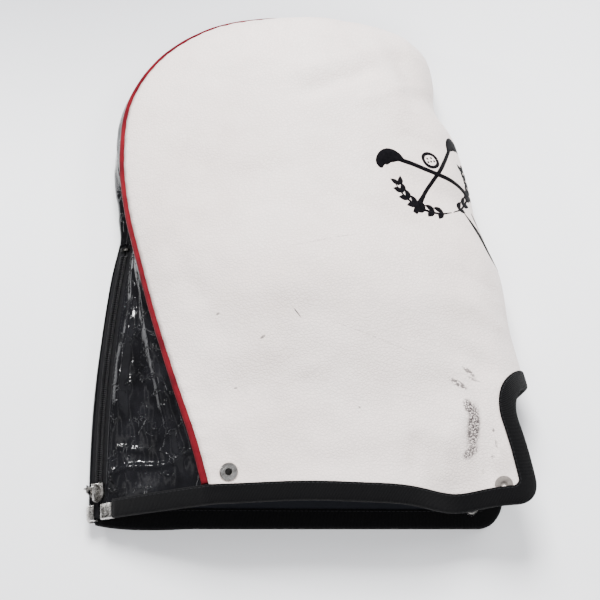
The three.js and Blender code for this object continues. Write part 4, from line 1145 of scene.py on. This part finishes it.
def stitches(name, path, normals, pitch, length, thick):
    """Short rounded threads along a line of places in mm."""
    points, faces, uv = [], [], []
    for centre, run, normal in along_path(path, normals, pitch):
        across = np.cross(run, normal)
        first = len(points)
        for t, swell in STITCH_SHAPE:
            for k in range(STITCH_SIDES):
                angle = TURN * k / STITCH_SIDES
                offset = across * math.cos(angle) + normal * math.sin(angle) * 0.8
                points.append(centre + run * (t * length) + offset * (swell * thick / 2))
                uv.append((t * length, k * 0.2))
        faces += [tuple(i + first for i in f) for f in tube_faces(len(STITCH_SHAPE), STITCH_SIDES)]
    build(name, points, outward(points, faces), THREAD, "black_tape", uv=uv)


def hem_stitches():
    stations = [station(BINDING_WIDTH - HEM_STITCH_INSET) for station in hem_stations()]
    normals = [normal for _, normal, _ in stations]
    outer = BINDING_OUTER + BINDING_THICK + STITCH_LIFT
    inner = BINDING_INNER - BINDING_THICK - STITCH_LIFT
    for label, height in (("outer", outer), ("inner", inner)):
        path = [point + normal * (height + relief) for point, normal, relief in stations]
        stitches(f"hem_stitches_{label}", path, normals, *HEM_STITCH)


def zip_stitches(label, part):
    along = np.arange(16, 218, 2.0)
    across = np.full(len(along), ZIP_STITCH_COLUMN)
    normals = part.normal(across, along)
    lift = OUTER[1] + 0.1 + gusset_relief(part, across, along)
    path = part.point(across, along) + normals * lift[:, None]
    stitches(f"zip_stitches_{label}", path, normals, *ZIP_STITCH)


hem_stitches()
for label, part, side in HALVES:
    zip_stitches(label, part)


# ------------------------------------------------------------------ ribs and pips on the clips
PIP_PROFILE = [(1.5, -0.2), (1.45, 0.35), (1.1, 0.75), (0.5, 0.95)]    # radius and height
PIP_PLACES = ((9.3, 4.2), (9.3, 9.2))                                  # across and along
RIB_SPANS = ((lower, (3.9, 10.4)), (upper, (12.0, 13.8)))
RIB_ALONGS = np.arange(2.6, 12, 1.7)
PIP_SIDES = 20
RIB_SIDES, RIB_RINGS, RIB_HALF_WIDTH, RIB_HEIGHT = 6, 9, 0.55, 0.5


def lathe(profile, centre, run, normal, sides):
    """The points of a small turned shape about the normal: the profile is (radius, height)."""
    across = np.cross(run, normal)
    return [centre + (run * math.cos(angle) + across * math.sin(angle)) * radius + normal * height
            for radius, height in profile for angle in TURN * np.arange(sides) / sides]


def clip_details():
    points, faces = [], []
    high = BINDING_OUTER + CLIP_THICK

    def put(more, loops):
        faces.extend(tuple(i + len(points) for i in f) for f in loops)
        points.extend(more)
    for across, along in PIP_PLACES:
        normal = upper.normal(across, along)
        run = unit(upper.point(across + 0.5, along) - upper.point(across, along))
        centre = upper.point(across, along) + normal * (high - 0.1)
        put(lathe(PIP_PROFILE, centre, run, normal, PIP_SIDES), tube_faces(len(PIP_PROFILE), PIP_SIDES))
    for along in RIB_ALONGS:
        for part, span in RIB_SPANS:
            rib = []
            for across in np.linspace(*span, RIB_RINGS):
                base, normal = part.point(across, along), part.normal(across, along)
                run = unit(part.point(across, along + 0.5) - base)
                for angle in np.linspace(0, math.pi, RIB_SIDES):
                    rise = high - 0.12 + RIB_HEIGHT * math.sin(angle)
                    rib.append(base + normal * rise + run * RIB_HALF_WIDTH * math.cos(angle))
            put(rib, tube_faces(RIB_RINGS, RIB_SIDES))
    build("hem_clip_ribs", points, faces, NICKEL, "nickel")


clip_details()


# ------------------------------------------------------------------ caps and eyes of the press studs
STUD_FRAMES = {
    # origin in metres and outward direction of each press stud
    "front_upper": ((0.155452, -0.206757, 0.050033), (-0.184, -0.0573, 0.9813)),
    "front_lower": ((0.134501, -0.217513, 0.0036), (0, 0, -1)),
    "back_upper": ((-0.062579, -0.19766, 0.056471), (-0.0708, -0.0282, 0.9971)),
    "back_lower": ((-0.085722, -0.207377, 0.003589), (0.0115, 0.0022, -0.9999)),
}
CAP_PROFILE = [
    (2.7, 1.95), (7.1, 1.95), (7.4, 2.2), (7.25, 2.55), (6.7, 2.85), (5.8, 2.95), (5.2, 2.85),
    (4.6, 3.0), (4.0, 3.25), (3.4, 3.25), (2.95, 3.0), (2.7, 2.6),
]
EYE_PROFILE = [(3.1, 1.3), (3.1, 2.0), (2.6, 1.9), (1.4, 1.45), (0.3, 1.35)]
STUD_SIDES = 48


def ring_faces(rings, sides):
    """The faces of a tube whose last ring joins its first."""
    last = (rings - 1) * sides
    joint = [(last + k, last + (k + 1) % sides, (k + 1) % sides, k) for k in range(sides)]
    return grid_quads(rings, sides, closed=True) + joint


for label, (origin, axis) in STUD_FRAMES.items():
    normal = unit(np.array(axis))
    run = unit(np.cross(normal, (0, 1, 0)))
    centre = np.array(origin) / MM
    whole = label.startswith("back")
    # The back studs' eyes are painted dark, as the shade in their caps' holes.
    turned = [(f"stud_eye_{label}", EYE_PROFILE, tube_faces, SHADE_NICKEL if whole else DARK_CAP, ())]
    if whole:
        turned.append((f"stud_cap_{label}_metal", CAP_PROFILE, ring_faces, NICKEL, (f"stud_cap_{label}",)))
    for name, profile, faces_of, material, nodes in turned:
        points = np.array(lathe(profile, centre, run, normal, STUD_SIDES))
        faces = outward(points - centre, faces_of(len(profile), STUD_SIDES))
        build(name, points, faces, material, "nickel", nodes, shift=False)


# ------------------------------------------------------------------ the cloth, as it was cut
FLAT_SHEETS = [
    # piece, flat width and length, area, how it is held, what it rests on
    ("front_panel_leatherette", (0.660, 0.475), 0.274, "folded", ["front_lining_cloth"]),
    ("front_lining_cloth", (0.655, 0.470), 0.268, "folded", []),
    ("gusset_upper_patent", (0.101, 0.676), 0.0235, "stretched", []),
    ("gusset_lower_patent", (0.088, 0.678), 0.0220, "stretched", []),
    ("gusset_lining_upper_cloth", (0.098, 0.672), 0.0225, "stretched", []),
    ("gusset_lining_lower_cloth", (0.086, 0.674), 0.0210, "stretched", []),
]
for name, flat, area, held, rests_on in FLAT_SHEETS:
    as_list(rests_on)


# ------------------------------------------------------------------ camera, light and floor
CAMERA_DISTANCE, CAMERA_ELEVATION, CAMERA_LENS, SENSOR_WIDTH = 1.032, math.radians(70), 70, 36
FLOOR_HALF = 4.0
DAYLIGHT, DAYLIGHT_STRENGTH = (0.95, 0.96, 1.0, 1), 0.6
FLAG_X, FLAG_EDGE, FLAG_TOP = -1.05, -0.24, 1.3

target = Vector((SHIFT[0] * MM, SHIFT[1] * MM, 0))
camera = link("camera", bpy.data.cameras.new("camera"))
camera.data.lens = CAMERA_LENS
camera.data.sensor_width = SENSOR_WIDTH
heading = Vector((0, -math.cos(CAMERA_ELEVATION), math.sin(CAMERA_ELEVATION)))
camera.location = target + CAMERA_DISTANCE * heading
camera.rotation_euler = (target - camera.location).to_track_quat("-Z", "Y").to_euler()
bpy.context.scene.camera = camera


def cards(name, corners, material):
    """Flat four-cornered cards that are part of the set, not of the object."""
    mesh = bpy.data.meshes.new(name)
    mesh.from_pydata(corners, [], [tuple(range(i, i + 4)) for i in range(0, len(corners), 4)])
    mesh.materials.append(material)
    obj = link(name, mesh)
    return obj


def area_light(name, location, size, power, aim=(0, 0, 0.03), mirrored=False):
    """A rectangular light. Only a mirrored one shows up in reflections."""
    data = bpy.data.lights.new(name, "AREA")
    data.shape = "RECTANGLE"
    data.size, data.size_y = size
    data.energy = power
    lamp = link(name, data)
    lamp.location = location
    lamp.rotation_euler = (Vector(aim) - Vector(location)).to_track_quat("-Z", "Y").to_euler()
    lamp.visible_glossy = mirrored


floor_corners = [(x * FLOOR_HALF, y * FLOOR_HALF, 0) for x, y in ((-1, -1), (1, -1), (1, 1), (-1, 1))]
cards("floor", floor_corners, sweep_paper())
area_light("overhead", (-0.12, 0.95, 1.25), (0.7, 0.6), 80)
area_light("right_box", (1.1, 0.5, 1.2), (0.6, 0.6), 16)
area_light("front_box", (-0.3, -1.0, 1.5), (0.9, 0.6), 20)
area_light("spark", (-0.9, 0.30, 0.52), (0.05, 0.05), 3.4, (-0.13, -0.1, 0.03), True)
area_light("left_panel", (-0.95, 0.0, 0.62), (0.5, 0.08), 0.22, (-0.13, -0.05, 0.03), True)
world = bpy.data.worlds.new("studio")
world.use_nodes = True
world.node_tree.nodes["Background"].inputs["Color"].default_value = DAYLIGHT
world.node_tree.nodes["Background"].inputs["Strength"].default_value = DAYLIGHT_STRENGTH
bpy.context.scene.world = world

# Two black cards beside the hood, one standing and one lying, which only its reflections see.
standing = [(FLAG_X, y, z) for y, z in ((-0.9, -0.01), (2.2, -0.01), (2.2, FLAG_TOP), (-0.9, FLAG_TOP))]
lying = [(x, y, 0.001) for x, y in ((FLAG_X, -0.04), (FLAG_EDGE, -0.04), (FLAG_EDGE, 0.30), (FLAG_X, 0.30))]
flag = cards("flag", standing + lying, flag_cloth())
flag.visible_camera = False
flag.visible_diffuse = False
flag.visible_shadow = False
